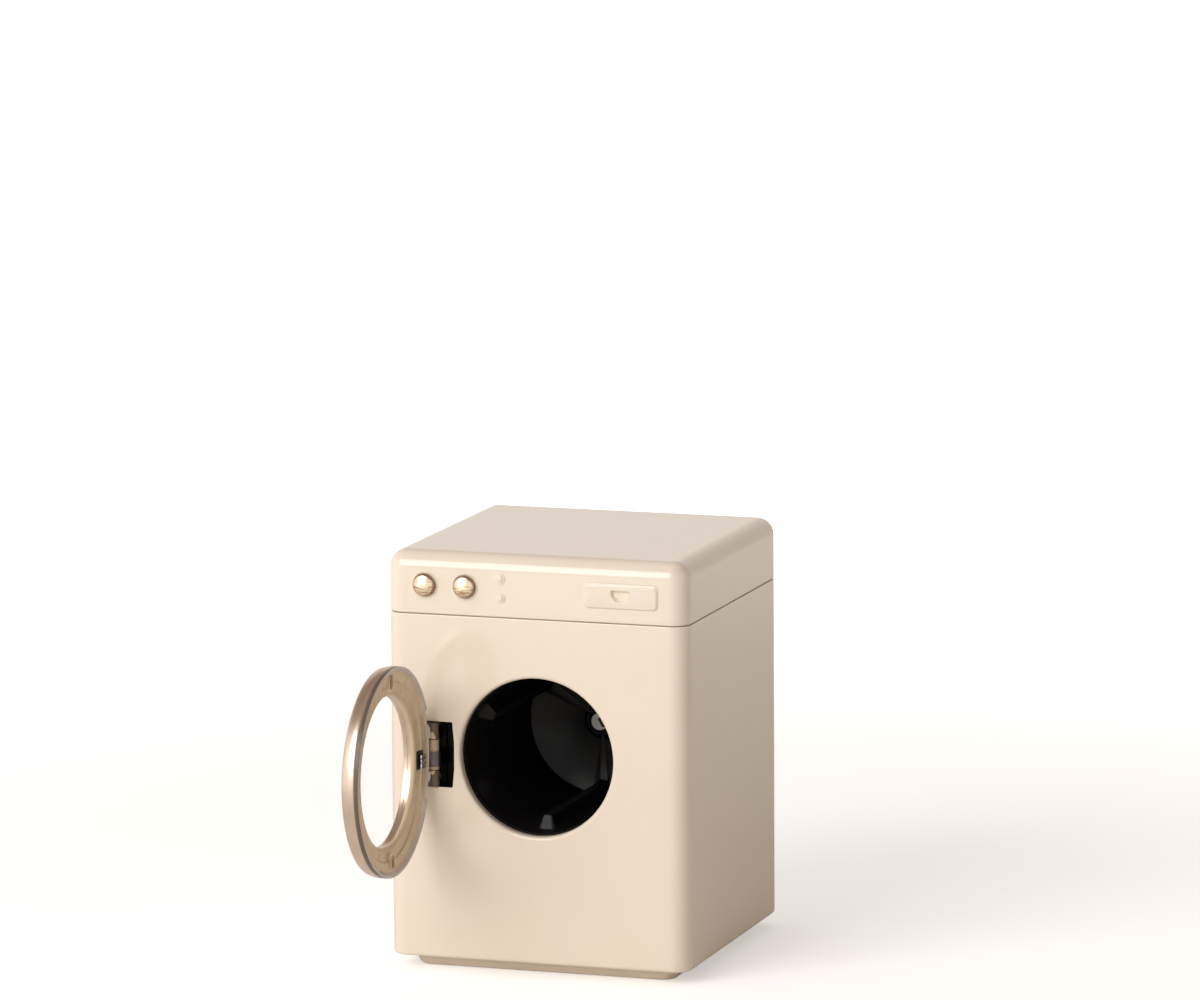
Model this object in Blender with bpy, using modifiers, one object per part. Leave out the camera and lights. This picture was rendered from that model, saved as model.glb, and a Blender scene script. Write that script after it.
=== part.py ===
"""Toy washing machine with a lift-off lid, two turning knobs, a hinged door and a turning drum.

Metres, +Z up. X runs to the right across the front, Y runs from the front to the back, and the
origin is on the ground in the middle of the foot. The door stands open, as it is modelled at rest.
"""
import math

import bmesh
import bpy
from mathutils import Matrix, Vector

# Casing of pressed sheet
CASE_WIDTH = 0.0930
CASE_DEPTH = 0.0918
CASE_CORNER_R = 0.0054
SHEET = 0.0008
CASE_BASE_Z = 0.0038
SEAM_Z = 0.1074
HEM_R = 0.0012
HEM_LIP = 0.0014
BACK_SEAM_WIDTH = 0.0060
BACK_SEAM_RISE = 0.0003
FIT = 0.0003
FINE_EDGE = 0.0003
CUT_OVERRUN = 0.0020
MERGE_DISTANCE = 0.00001

# Lid with its embossed drawer front and dots
LID_HEIGHT = 0.0184
LID_EDGE_R = 0.0052
COLLAR_CLEARANCE = 0.0006
COLLAR_DROP = 0.0090
DRAWER_EDGE = 0.0084
DRAWER_WIDTH = 0.02315
DRAWER_HEIGHT = 0.0077
DRAWER_MIDDLE_RISE = 0.0080
DRAWER_PROUD = 0.0006
DRAWER_STEP_PROUD = 0.0003
DRAWER_STEP_SIDE = 0.0003
DRAWER_STEP_TOP = 0.0009
DRAWER_CORNER_R = 0.0016
DRAWER_CHAMFER = 0.0002
CUP_INDENT = 0.0087
CUP_WIDTH = 0.0058
CUP_HEIGHT = 0.0036
CUP_ABOVE_MIDDLE = 0.0018
CUP_DEPTH = 0.0005
CUP_WALL = 0.0007
DOT_EDGE = 0.0359
DOT_R = 0.00155
DOT_DISC_RISE = 0.0003
DOT_DOME_R = 0.0010
DOT_RISE = 0.0007
DOT_UPPER_RISE = 0.0114
DOT_LOWER_RISE = 0.0057

# Knobs
KNOB_EDGE = 0.0123
KNOB_SPACING = 0.0125
KNOB_RISE = 0.0086
KNOB_R = 0.0033
KNOB_DOME = 0.0012
KNOB_RIM = 0.0009
KNOB_NIB = 0.0008
KNOB_SEAT_GAP = 0.0002
KNOB_SEAT_WIDTH = 0.0005
KNOB_SEAT_PROUD = 0.0003
SHANK_R = 0.0008
SHANK_TAIL = 0.0018
CLIP_R = 0.0020
CLIP_THICK = 0.0005

# Foot pan
PAN_FLANGE = 0.0050
FOOT_TOP_INSET = 0.0046
FOOT_BOTTOM_INSET = 0.0068
FOOT_EDGE_R = 0.0012
FOOT_CORNER_R = 0.0040

# Opening and its inward flange
OPENING_Z = 0.0658
OPENING_R = 0.02365
OPENING_LIP_R = 0.0012
FLANGE_DEPTH = 0.0032

# Hinge
HINGE_MARGIN = 0.0008
HINGE_SET_BACK = 0.0001
HINGE_DROP = 0.0005
HINGE_HEIGHT = 0.0190
MIDDLE_KNUCKLE = 0.0090
KNUCKLE_R = 0.00155
HINGE_PIN_R = 0.0006
HINGE_WINDOW_LEFT_REACH = 0.0023
HINGE_WINDOW_RIGHT_REACH = 0.0058
HINGE_WINDOW_BULGE = 0.0012
HINGE_WINDOW_CLEARANCE = 0.00035
HINGE_WINDOW_CORNER_R = 0.0005
OPEN_ANGLE_DEG = 90.3
BRACKET_THICK = 0.0014
BRACKET_ARM = 0.0018
SPRING_HEIGHT = 0.0044
SPRING_THICK = 0.00025
SPRING_DROP = 0.0013
SPRING_FOOT = 0.0016
BRACKET_SCREW_R = 0.0006
BRACKET_SCREW_HEAD_R = 0.0012
BRACKET_SCREW_HEAD = 0.0006
BRACKET_SCREW_LENGTH = 0.0034

# Door, whose depths are measured from its inner lip towards its outer face
DOOR_CLEARANCE = 0.0004
DOOR_OVERLAP = 0.00735
DOOR_DEPTH = 0.0056
DOOR_WALL = 0.0010
DOOR_TAPER = 0.0004
DOOR_SHOULDER_R = 0.0014
DOOR_HOLE_STEP = 0.00145
NOTCH_HEIGHT = 0.0268
NOTCH_MIDDLE_CLEARANCE = 0.0005
NOTCH_MIDDLE_DEPTH = 0.0024
PANE_OVERLAP = 0.0036
PANE_THICK = 0.0010
PANE_EDGE = 0.0002
BEZEL_RIM_GAP = 0.0018
BEZEL_THICK = 0.0010
BEZEL_STEP_WIDTH = 0.0043
BEZEL_STEP = 0.0005
BEZEL_LIP_R = 0.0004
ARM_THICK = 0.0010
ARM_ROOT_WIDTH = 0.0042
BOSS_INSET = 0.0016
BOSS_LENGTH = 0.0046
BOSS_WIDTH = 0.0042
BOSS_WALL = 0.0008
BOSS_RISE = 0.0011
SPRING_PLATE_WIDTH = 0.0024
SPRING_PLATE_THICK = 0.0004

# Tub housing
TUB_WALL = 0.0012
TUB_LENGTH = 0.0680
TUB_FLANGE_WIDTH = 0.00455
TUB_FLANGE_THICK = 0.0014
TUB_BOSS_R = 0.0045
TUB_BOSS_LENGTH = 0.0030
TUB_RIB_TURNS_DEG = (-45, 0, 45)
TUB_RIB_THICK = 0.0012
TUB_RIB_RISE = 0.0020
LEG_WIDTH = 0.0060
LEG_THICK = 0.0016
LEG_SPREAD = 0.0150
LEG_FOOT = 0.0050
POCKET_DEPTH = 0.0070
POCKET_WALL = 0.0012
POCKET_MARGIN = 0.0010

# Drum and its axle
DRUM_GAP = 0.0006
DRUM_WALL = 0.0010
DRUM_FRONT_GAP = 0.0006
DRUM_LIP_R = 0.0005
LIFTER_COUNT = 3
LIFTER_HEIGHT = 0.0042
LIFTER_BASE = 0.0064
LIFTER_TOP_SHARE = 0.45
LIFTER_END_GAP = 0.0060
HUB_R = 0.0060
HUB_RISE = 0.0014
AXLE_R = 0.0015
AXLE_HEAD_R = 0.0034
AXLE_HEAD = 0.0016
WASHER_R = 0.0034
WASHER_THICK = 0.0006
NUT_R = 0.0032
NUT_THICK = 0.0020

# How finely round shapes are divided
TURN_STEPS = 60
SMALL_TURN_STEPS = 24
CORNER_STEPS = 6
ROUND_STEPS = 4
DRAWER_CORNER_STEPS = 3
DOT_TURN_STEPS = 16

# Sizes worked out from the ones above
FRONT_Y = -CASE_DEPTH / 2
LID_TOP_Z = SEAM_Z + LID_HEIGHT
HINGE_Y = FRONT_Y + HINGE_SET_BACK
KNOB_LEFT_X = KNOB_EDGE - CASE_WIDTH / 2
KNOB_RIGHT_X = KNOB_LEFT_X + KNOB_SPACING
DOT_X = DOT_EDGE - CASE_WIDTH / 2
DRAWER_RIGHT_X = CASE_WIDTH / 2 - DRAWER_EDGE
DRAWER_LEFT_X = DRAWER_RIGHT_X - DRAWER_WIDTH
CUP_LEFT_X = DRAWER_LEFT_X + CUP_INDENT
CUP_TOP_RISE = DRAWER_MIDDLE_RISE + CUP_ABOVE_MIDDLE
COLLAR_RISE = CUP_TOP_RISE - CUP_HEIGHT - CUP_WALL - COLLAR_CLEARANCE
KNOB_SEAT_INNER_R = KNOB_R + KNOB_SEAT_GAP
DOOR_R = OPENING_R + DOOR_OVERLAP
DOOR_HOLE_R = OPENING_R - DOOR_HOLE_STEP
HINGE_REACH = DOOR_R + HINGE_MARGIN
HINGE_X = -HINGE_REACH
HINGE_Z = OPENING_Z - HINGE_DROP
HINGE_WINDOW_LEFT_X = HINGE_X - HINGE_WINDOW_LEFT_REACH
HINGE_WINDOW_RIGHT_X = HINGE_X + HINGE_WINDOW_RIGHT_REACH
HINGE_WINDOW_BOTTOM_Z = HINGE_Z - HINGE_HEIGHT / 2 - HINGE_WINDOW_CLEARANCE
HINGE_WINDOW_TOP_Z = HINGE_Z + HINGE_HEIGHT / 2 + HINGE_WINDOW_CLEARANCE
SPRING_Z = HINGE_Z - SPRING_DROP
NOTCH_DEPTH = ARM_THICK + FIT
NOTCH_MIDDLE_HEIGHT = MIDDLE_KNUCKLE + NOTCH_MIDDLE_CLEARANCE + NOTCH_MIDDLE_CLEARANCE
PANE_R = DOOR_HOLE_R + PANE_OVERLAP
BEZEL_R = DOOR_R - BEZEL_RIM_GAP
BEZEL_STEP_R = DOOR_HOLE_R + BEZEL_STEP_WIDTH
ARM_INNER_R = DOOR_HOLE_R + ARM_ROOT_WIDTH
BOSS_INNER_R = DOOR_HOLE_R + BOSS_INSET
LIP_SET = DOOR_CLEARANCE + HINGE_SET_BACK
FLANGE_OUTER_R = OPENING_R + SHEET
TUB_INNER_R = FLANGE_OUTER_R + FIT
TUB_FLANGE_R = FLANGE_OUTER_R + TUB_FLANGE_WIDTH
TUB_FRONT_Y = FRONT_Y + SHEET + FIT
TUB_BACK_Y = TUB_FRONT_Y + TUB_LENGTH
PAN_SHELF_Z = CASE_BASE_Z + SHEET + FIT
POCKET_FLOOR_Y = TUB_FRONT_Y + POCKET_DEPTH

part_collection = bpy.data.collections.new("toy_washing_machine")
cutter_collection = bpy.data.collections.new("cutters")


def start_empty():
    """Remove what the scene holds and link the two collections."""
    for item in list(bpy.data.objects):
        bpy.data.objects.remove(item, do_unlink=True)
    bpy.context.scene.collection.children.link(part_collection)
    bpy.context.scene.collection.children.link(cutter_collection)


def material(name, colour, roughness, metallic=0.0, alpha=1.0):
    """A plain Principled material."""
    made = bpy.data.materials.new(name)
    made.use_nodes = True
    shader = made.node_tree.nodes["Principled BSDF"]
    shader.inputs["Base Color"].default_value = (*colour, 1.0)
    shader.inputs["Roughness"].default_value = roughness
    shader.inputs["Metallic"].default_value = metallic
    shader.inputs["Alpha"].default_value = alpha
    made.diffuse_color = (*colour, alpha)
    return made


def add_object(name, mesh, look=None, parent=None):
    """Put a mesh into the part's collection, or among the cutters when it has no material."""
    thing = bpy.data.objects.new(name, mesh)
    if look is None:
        cutter_collection.objects.link(thing)
        thing.hide_render = True
        thing.display_type = "WIRE"
    else:
        part_collection.objects.link(thing)
        mesh.materials.append(look)
    thing.parent = parent
    return thing


def smooth(thing, angle=math.radians(32)):
    """Shade a round piece smooth and keep its sharp edges."""
    thing.data.shade_smooth()
    thing.data.set_sharp_from_angle(angle=angle)
    return thing


def boolean(thing, other, operation):
    """Join another solid to this one, or cut it out of this one."""
    step = thing.modifiers.new(operation.lower(), "BOOLEAN")
    step.operation = operation
    step.solver = "EXACT"
    step.object = other
    return thing


def bevel(thing, width, segments=2, angle=math.radians(40)):
    """Round the sharp edges of a piece."""
    step = thing.modifiers.new("rounded edges", "BEVEL")
    step.width = width
    step.segments = segments
    step.limit_method = "ANGLE"
    step.angle_limit = angle
    return thing


def arc(centre_r, centre_z, radius, start_deg, end_deg, steps=ROUND_STEPS):
    """Points (r, z) along an arc of a turned profile, both ends included."""
    points = []
    for index in range(steps + 1):
        turn = math.radians(start_deg + (end_deg - start_deg) * index / steps)
        points.append((centre_r + radius * math.cos(turn), centre_z + radius * math.sin(turn)))
    return points


def turned(name, profile, look=None, parent=None, place=(0.0, 0.0, 0.0), facing="front", steps=TURN_STEPS):
    """Turn a closed profile of (radius, height) round its axis with a Screw modifier.

    The profile runs down its outer side and back up its inner side or along the axis. The height
    points out of the front (towards -Y), or up when facing is "up".
    """
    mesh = bpy.data.meshes.new(name)
    vertices = [(radius, 0.0, height) for radius, height in profile]
    edges = [(index, index + 1) for index in range(len(profile) - 1)]
    if profile[0][0] > 0 or profile[-1][0] > 0:
        edges.append((len(profile) - 1, 0))
    mesh.from_pydata(vertices, edges, [])
    thing = add_object(name, mesh, look, parent)
    thing.location = place
    if facing == "front":
        thing.rotation_euler = (math.radians(90), 0.0, 0.0)
    step = thing.modifiers.new("turned", "SCREW")
    step.steps = steps
    step.render_steps = steps
    step.use_merge_vertices = True
    step.merge_threshold = MERGE_DISTANCE
    step.use_smooth_shade = True
    return thing


def plate(name, outline, low, high, look=None, parent=None, plane="XZ"):
    """A filled 2D curve given thickness from low to high, and made a mesh.

    An "XZ" outline holds (x, z) points and is thick along Y. An "XY" outline is thick along Z.
    """
    curve = bpy.data.curves.new(name, "CURVE")
    curve.dimensions = "2D"
    curve.fill_mode = "BOTH"
    curve.extrude = (high - low) / 2
    line = curve.splines.new("POLY")
    line.points.add(len(outline) - 1)
    for point, (across, along) in zip(line.points, outline):
        point.co = (across, along, 0.0, 1.0)
    line.use_cyclic_u = True
    drawn = bpy.data.objects.new(name, curve)
    cutter_collection.objects.link(drawn)
    if plane == "XZ":
        drawn.matrix_world = Matrix.Translation((0.0, (low + high) / 2, 0.0)) @ Matrix.Rotation(math.pi / 2, 4, "X")
    else:
        drawn.matrix_world = Matrix.Translation((0.0, 0.0, (low + high) / 2))
    bpy.context.view_layer.update()
    mesh = bpy.data.meshes.new_from_object(drawn.evaluated_get(bpy.context.evaluated_depsgraph_get()))
    mesh.transform(drawn.matrix_world)
    bpy.data.objects.remove(drawn, do_unlink=True)
    form = bmesh.new()
    form.from_mesh(mesh)
    bmesh.ops.remove_doubles(form, verts=form.verts, dist=MERGE_DISTANCE)
    bmesh.ops.dissolve_limit(form, angle_limit=math.radians(0.1), verts=form.verts, edges=form.edges)
    form.to_mesh(mesh)
    form.free()
    return add_object(name, mesh, look, parent)


def box(name, low, high, look=None, parent=None):
    """A block between two corners."""
    middle = (Vector(low) + Vector(high)) / 2
    form = bmesh.new()
    bmesh.ops.create_cube(form, size=1)
    bmesh.ops.scale(form, vec=Vector(high) - Vector(low), verts=form.verts)
    bmesh.ops.translate(form, vec=middle, verts=form.verts)
    mesh = bpy.data.meshes.new(name)
    form.to_mesh(mesh)
    form.free()
    return add_object(name, mesh, look, parent)


def rounded_outline(left, right, bottom, top, radius, steps=ROUND_STEPS):
    """Points of a rectangle with round corners, anticlockwise from its lower right corner."""
    corners = (
        (right - radius, bottom + radius, -90),
        (right - radius, top - radius, 0),
        (left + radius, top - radius, 90),
        (left + radius, bottom + radius, 180),
    )
    points = []
    for across, along, start in corners:
        points.extend(arc(across, along, radius, start, start + 90, steps))
    return points


def case_ring(inset, height, least_corner_r):
    """The casing's plan outline, drawn in by inset, at one height."""
    half_width = CASE_WIDTH / 2 - inset
    half_depth = CASE_DEPTH / 2 - inset
    radius = max(CASE_CORNER_R - inset, least_corner_r)
    plan = rounded_outline(-half_width, half_width, -half_depth, half_depth, radius, CORNER_STEPS)
    return [(x, y, height) for x, y in plan]


def sheet_shell(name, section, look, closed_end=None, least_corner_r=FINE_EDGE):
    """Pressed sheet: a section of (inset, height) points carried round the casing's plan outline.

    The section is the outer surface, from bottom to top, and Solidify gives the sheet its thickness
    inwards. closed_end is "top" or "bottom" where the sheet runs right across. The plan's corners
    stay concentric with the casing's, but no tighter than least_corner_r.
    """
    form = bmesh.new()
    rings = []
    for inset, height in section:
        rings.append([form.verts.new(place) for place in case_ring(inset, height, least_corner_r)])
    for lower, upper in zip(rings, rings[1:]):
        count = len(lower)
        for index in range(count):
            after = (index + 1) % count
            form.faces.new((lower[index], lower[after], upper[after], upper[index]))
    if closed_end == "top":
        form.faces.new(rings[-1])
    if closed_end == "bottom":
        form.faces.new(list(reversed(rings[0])))
    mesh = bpy.data.meshes.new(name)
    form.to_mesh(mesh)
    form.free()
    thing = add_object(name, mesh, look)
    step = thing.modifiers.new("sheet", "SOLIDIFY")
    step.thickness = SHEET
    step.offset = -1
    step.use_even_offset = True
    return smooth(thing)


def make_materials():
    """The object's materials by name."""
    cream = (0.883, 0.763, 0.597)
    tan = (0.52, 0.39, 0.25)
    return {
        "enamel": material("cream enamel", cream, 0.22),
        "foot": material("foot enamel", cream, 0.30),
        "brass": material("polished brass", (0.78, 0.57, 0.28), 0.22, 1.0),
        "gold": material("satin gold", (0.80, 0.62, 0.44), 0.26, 1.0),
        "smoke": material("smoky plastic", tan, 0.20, 0.0, 0.80),
        "clear": material("clear pane", (0.96, 0.96, 0.95), 0.03, 0.0, 0.12),
        "black": material("black plastic", (0.012, 0.011, 0.010), 0.14),
        "steel": material("dull steel", (0.45, 0.44, 0.43), 0.34, 1.0),
    }


def make_case_wrap(looks):
    """Front, sides and back in one sheet, with the drawn opening and the hinge window."""
    hem = [(HEM_R + HEM_LIP, CASE_BASE_Z)]
    hem += [
        (HEM_R - HEM_R * math.sin(math.radians(turn)), CASE_BASE_Z + HEM_R - HEM_R * math.cos(math.radians(turn)))
        for turn in (0, 30, 60, 90)
    ]
    top = SEAM_Z - FIT
    wrap = sheet_shell("case_wrap", hem + [(0.0, top)], looks["enamel"])

    boss = turned(
        "opening boss",
        [
            (FLANGE_OUTER_R, -SHEET / 2),
            (FLANGE_OUTER_R, -FLANGE_DEPTH),
            (OPENING_R - CUT_OVERRUN, -FLANGE_DEPTH),
            (OPENING_R - CUT_OVERRUN, -SHEET / 2),
        ],
        place=(0.0, FRONT_Y, OPENING_Z),
    )
    flare = [
        (0.0, CUT_OVERRUN),
        (OPENING_R + OPENING_LIP_R, CUT_OVERRUN),
        (OPENING_R + OPENING_LIP_R, 0.0),
    ]
    flare += [
        (
            OPENING_R + OPENING_LIP_R - OPENING_LIP_R * math.sin(math.radians(turn)),
            OPENING_LIP_R * math.cos(math.radians(turn)) - OPENING_LIP_R,
        )
        for turn in (30, 60, 90)
    ]
    flare += [(OPENING_R, -FLANGE_DEPTH - CUT_OVERRUN), (0.0, -FLANGE_DEPTH - CUT_OVERRUN)]
    opening = turned("opening cutter", flare, place=(0.0, FRONT_Y, OPENING_Z))
    window = plate(
        "hinge window cutter", hinge_window_outline(), FRONT_Y - CUT_OVERRUN, FRONT_Y + CUT_OVERRUN
    )
    seam = box(
        "back seam",
        (-BACK_SEAM_WIDTH / 2, -FRONT_Y - SHEET / 2, CASE_BASE_Z + HEM_R + FIT),
        (BACK_SEAM_WIDTH / 2, -FRONT_Y + BACK_SEAM_RISE, top - HEM_R),
    )
    boolean(wrap, window, "DIFFERENCE")
    boolean(wrap, seam, "UNION")
    boolean(wrap, boss, "UNION")
    boolean(wrap, opening, "DIFFERENCE")
    return wrap


def hinge_window_outline(margin=0.0):
    """The hinge window, whose right side bulges where the door's arms pass, grown by margin."""
    bottom = HINGE_WINDOW_BOTTOM_Z - margin
    top = HINGE_WINDOW_TOP_Z + margin
    left = HINGE_WINDOW_LEFT_X - margin
    right = HINGE_WINDOW_RIGHT_X + margin
    bulge_low_share = 0.32
    bulge_high_share = 0.66
    radius = HINGE_WINDOW_CORNER_R
    points = arc(left + radius, top - radius, radius, 90, 180)
    points += arc(left + radius, bottom + radius, radius, 180, 270)
    points += arc(right - radius, bottom + radius, radius, 270, 360)
    points.append((right + HINGE_WINDOW_BULGE, bottom + (top - bottom) * bulge_low_share))
    points.append((right + HINGE_WINDOW_BULGE, bottom + (top - bottom) * bulge_high_share))
    points += arc(right - radius, top - radius, radius, 0, 90)
    return points


def make_neck_collar(looks):
    """The band inside the top edge, which the lid slips over."""
    inset = SHEET + FIT
    section = [
        (inset, SEAM_Z - COLLAR_DROP),
        (inset, SEAM_Z + COLLAR_RISE - FINE_EDGE),
        (inset + FINE_EDGE, SEAM_Z + COLLAR_RISE),
    ]
    return sheet_shell("neck_collar", section, looks["enamel"])


def knob_place(x):
    """Where a knob's axis meets the lid's front."""
    return (x, FRONT_Y, SEAM_Z + KNOB_RISE)


def make_lid(looks):
    """The drawn lid with its embossed drawer front, dots and knob seats."""
    section = [(0.0, SEAM_Z), (0.0, LID_TOP_Z - LID_EDGE_R)]
    rise_steps = 6
    for index in range(1, rise_steps + 1):
        turn = math.radians(90 * index / rise_steps)
        inset = LID_EDGE_R - LID_EDGE_R * math.cos(turn)
        section.append((inset, LID_TOP_Z - LID_EDGE_R + LID_EDGE_R * math.sin(turn)))
    lid = sheet_shell("lid", section, looks["enamel"], closed_end="top")

    drawer_middle = SEAM_Z + DRAWER_MIDDLE_RISE
    drawer_bottom = drawer_middle - DRAWER_HEIGHT / 2
    drawer_top = drawer_middle + DRAWER_HEIGHT / 2
    step_outline = rounded_outline(
        DRAWER_LEFT_X, DRAWER_RIGHT_X, drawer_bottom, drawer_top, DRAWER_CORNER_R, DRAWER_CORNER_STEPS
    )
    step = plate("drawer step", step_outline, FRONT_Y - DRAWER_STEP_PROUD, FRONT_Y + SHEET / 2)
    bevel(step, DRAWER_CHAMFER, segments=1, angle=math.radians(60))
    panel_outline = rounded_outline(
        DRAWER_LEFT_X + DRAWER_STEP_SIDE,
        DRAWER_RIGHT_X - DRAWER_STEP_SIDE,
        drawer_bottom + FINE_EDGE,
        drawer_top - DRAWER_STEP_TOP,
        DRAWER_CORNER_R - DRAWER_CHAMFER,
        DRAWER_CORNER_STEPS,
    )
    panel = plate("drawer panel", panel_outline, FRONT_Y - DRAWER_PROUD, FRONT_Y + SHEET / 2 + FINE_EDGE / 2)
    bevel(panel, DRAWER_CHAMFER, segments=1, angle=math.radians(60))

    cup_backing = plate("cup backing", cup_outline(CUP_WALL), FRONT_Y + SHEET / 2, FRONT_Y + CUP_DEPTH + CUP_WALL)
    cup = plate("cup cutter", cup_outline(0.0), FRONT_Y - CUT_OVERRUN, FRONT_Y + CUP_DEPTH)
    boolean(lid, step, "UNION")
    boolean(lid, panel, "UNION")
    boolean(lid, cup_backing, "UNION")
    boolean(lid, cup, "DIFFERENCE")

    dome_rise = DOT_RISE - DOT_DISC_RISE
    dome_r = (DOT_DOME_R * DOT_DOME_R + dome_rise * dome_rise) / (2 * dome_rise)
    sweep = math.degrees(math.asin(DOT_DOME_R / dome_r))
    for name, rise in (("upper dot", DOT_UPPER_RISE), ("lower dot", DOT_LOWER_RISE)):
        profile = list(reversed(arc(0.0, DOT_RISE - dome_r, dome_r, 90 - sweep, 90, DRAWER_CORNER_STEPS)))
        profile[0] = (0.0, DOT_RISE)
        profile += [(DOT_R - DOT_DISC_RISE, DOT_DISC_RISE), (DOT_R, 0.0), (DOT_R, -SHEET / 2), (0.0, -SHEET / 2)]
        dot = turned(name, profile, place=(DOT_X, FRONT_Y, SEAM_Z + rise), steps=DOT_TURN_STEPS)
        boolean(lid, dot, "UNION")

    for name, x in (("left seat", KNOB_LEFT_X), ("right seat", KNOB_RIGHT_X)):
        seat_r = KNOB_SEAT_INNER_R + KNOB_SEAT_WIDTH
        ring = [(seat_r, KNOB_SEAT_PROUD / 2), (seat_r, -SHEET / 2)]
        ring += [(KNOB_SEAT_INNER_R, -SHEET / 2), (KNOB_SEAT_INNER_R, KNOB_SEAT_PROUD / 2)]
        ring.append((KNOB_SEAT_INNER_R + KNOB_SEAT_WIDTH / 2, KNOB_SEAT_PROUD))
        seat = turned(name, ring, place=knob_place(x), steps=SMALL_TURN_STEPS)
        boolean(lid, seat, "UNION")
        hole_r = SHANK_R + FIT
        hole_profile = [(0.0, CUT_OVERRUN), (hole_r, CUT_OVERRUN), (hole_r, -CUT_OVERRUN), (0.0, -CUT_OVERRUN)]
        hole = turned(name + " hole", hole_profile, place=knob_place(x), steps=SMALL_TURN_STEPS)
        boolean(lid, hole, "DIFFERENCE")
    return lid


def cup_outline(margin):
    """The half-moon finger cup: straight at the top, an arc below, grown by margin."""
    middle = CUP_LEFT_X + CUP_WIDTH / 2
    top = SEAM_Z + CUP_TOP_RISE
    half = CUP_WIDTH / 2
    radius = (half * half + CUP_HEIGHT * CUP_HEIGHT) / (2 * CUP_HEIGHT)
    centre = top - CUP_HEIGHT + radius
    start = math.degrees(math.atan2(top - centre, -half))
    end = math.degrees(math.atan2(top - centre, half))
    arc_points = arc(middle, centre, radius + margin, start % 360, end % 360 + (360 if end < start else 0), 10)
    if margin > 0:
        arc_points = [(middle - half - margin, top + margin)] + arc_points + [(middle + half + margin, top + margin)]
    return arc_points


def make_knob(side, x, looks):
    """One knob with its domed head and shank, and the push-on washer that holds it."""
    place = knob_place(x)
    seat = FIT
    dome_centre = (KNOB_R * KNOB_R - KNOB_DOME * KNOB_DOME) / (2 * KNOB_DOME)
    dome_r = dome_centre + KNOB_DOME
    sweep = math.degrees(math.asin(KNOB_R / dome_r))
    head = seat + KNOB_RIM
    profile = list(reversed(arc(0.0, head - dome_centre, dome_r, 90 - sweep, 90, 6)))
    profile[0] = (0.0, head + KNOB_DOME)
    profile += [(KNOB_R, seat), (SHANK_R, seat), (SHANK_R, -SHEET - SHANK_TAIL), (0.0, -SHEET - SHANK_TAIL)]
    knob = turned("knob_" + side, profile, looks["brass"], place=place, steps=SMALL_TURN_STEPS)
    if side == "left":
        nib = box(
            "knob nib",
            (x + KNOB_R - KNOB_NIB, FRONT_Y - seat - KNOB_RIM, place[2] - KNOB_NIB / 2),
            (x + KNOB_R + KNOB_NIB / 2, FRONT_Y - seat - FINE_EDGE / 2, place[2] + KNOB_NIB / 2),
        )
        boolean(knob, nib, "UNION")
    back = -SHEET - FIT
    ring = [(CLIP_R, back), (CLIP_R, back - CLIP_THICK)]
    ring += [(SHANK_R + FIT, back - CLIP_THICK), (SHANK_R + FIT, back)]
    turned("knob_clip_" + side, ring, looks["steel"], place=place, steps=SMALL_TURN_STEPS)


def make_base_pan(looks):
    """The stepped foot pan: a flange inside the hem, a shelf and the sloping foot."""
    shelf_inset = SHEET + FIT
    slope = math.atan2(FOOT_BOTTOM_INSET - FOOT_TOP_INSET, PAN_SHELF_Z)
    reach = FOOT_EDGE_R * math.tan((math.pi / 2 - slope) / 2)
    centre_inset = FOOT_BOTTOM_INSET + reach
    section = []
    for index in range(ROUND_STEPS + 1):
        turn = (math.pi / 2 - slope) * index / ROUND_STEPS
        inset = centre_inset - FOOT_EDGE_R * math.sin(turn)
        section.append((inset, FOOT_EDGE_R - FOOT_EDGE_R * math.cos(turn)))
    section += [
        (FOOT_TOP_INSET + FINE_EDGE, PAN_SHELF_Z - FINE_EDGE),
        (FOOT_TOP_INSET, PAN_SHELF_Z),
        (shelf_inset + HEM_R, PAN_SHELF_Z),
        (shelf_inset, PAN_SHELF_Z + HEM_R),
        (shelf_inset, PAN_SHELF_Z + PAN_FLANGE),
    ]
    return sheet_shell("base_pan", section, looks["foot"], "bottom", FOOT_CORNER_R)


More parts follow.
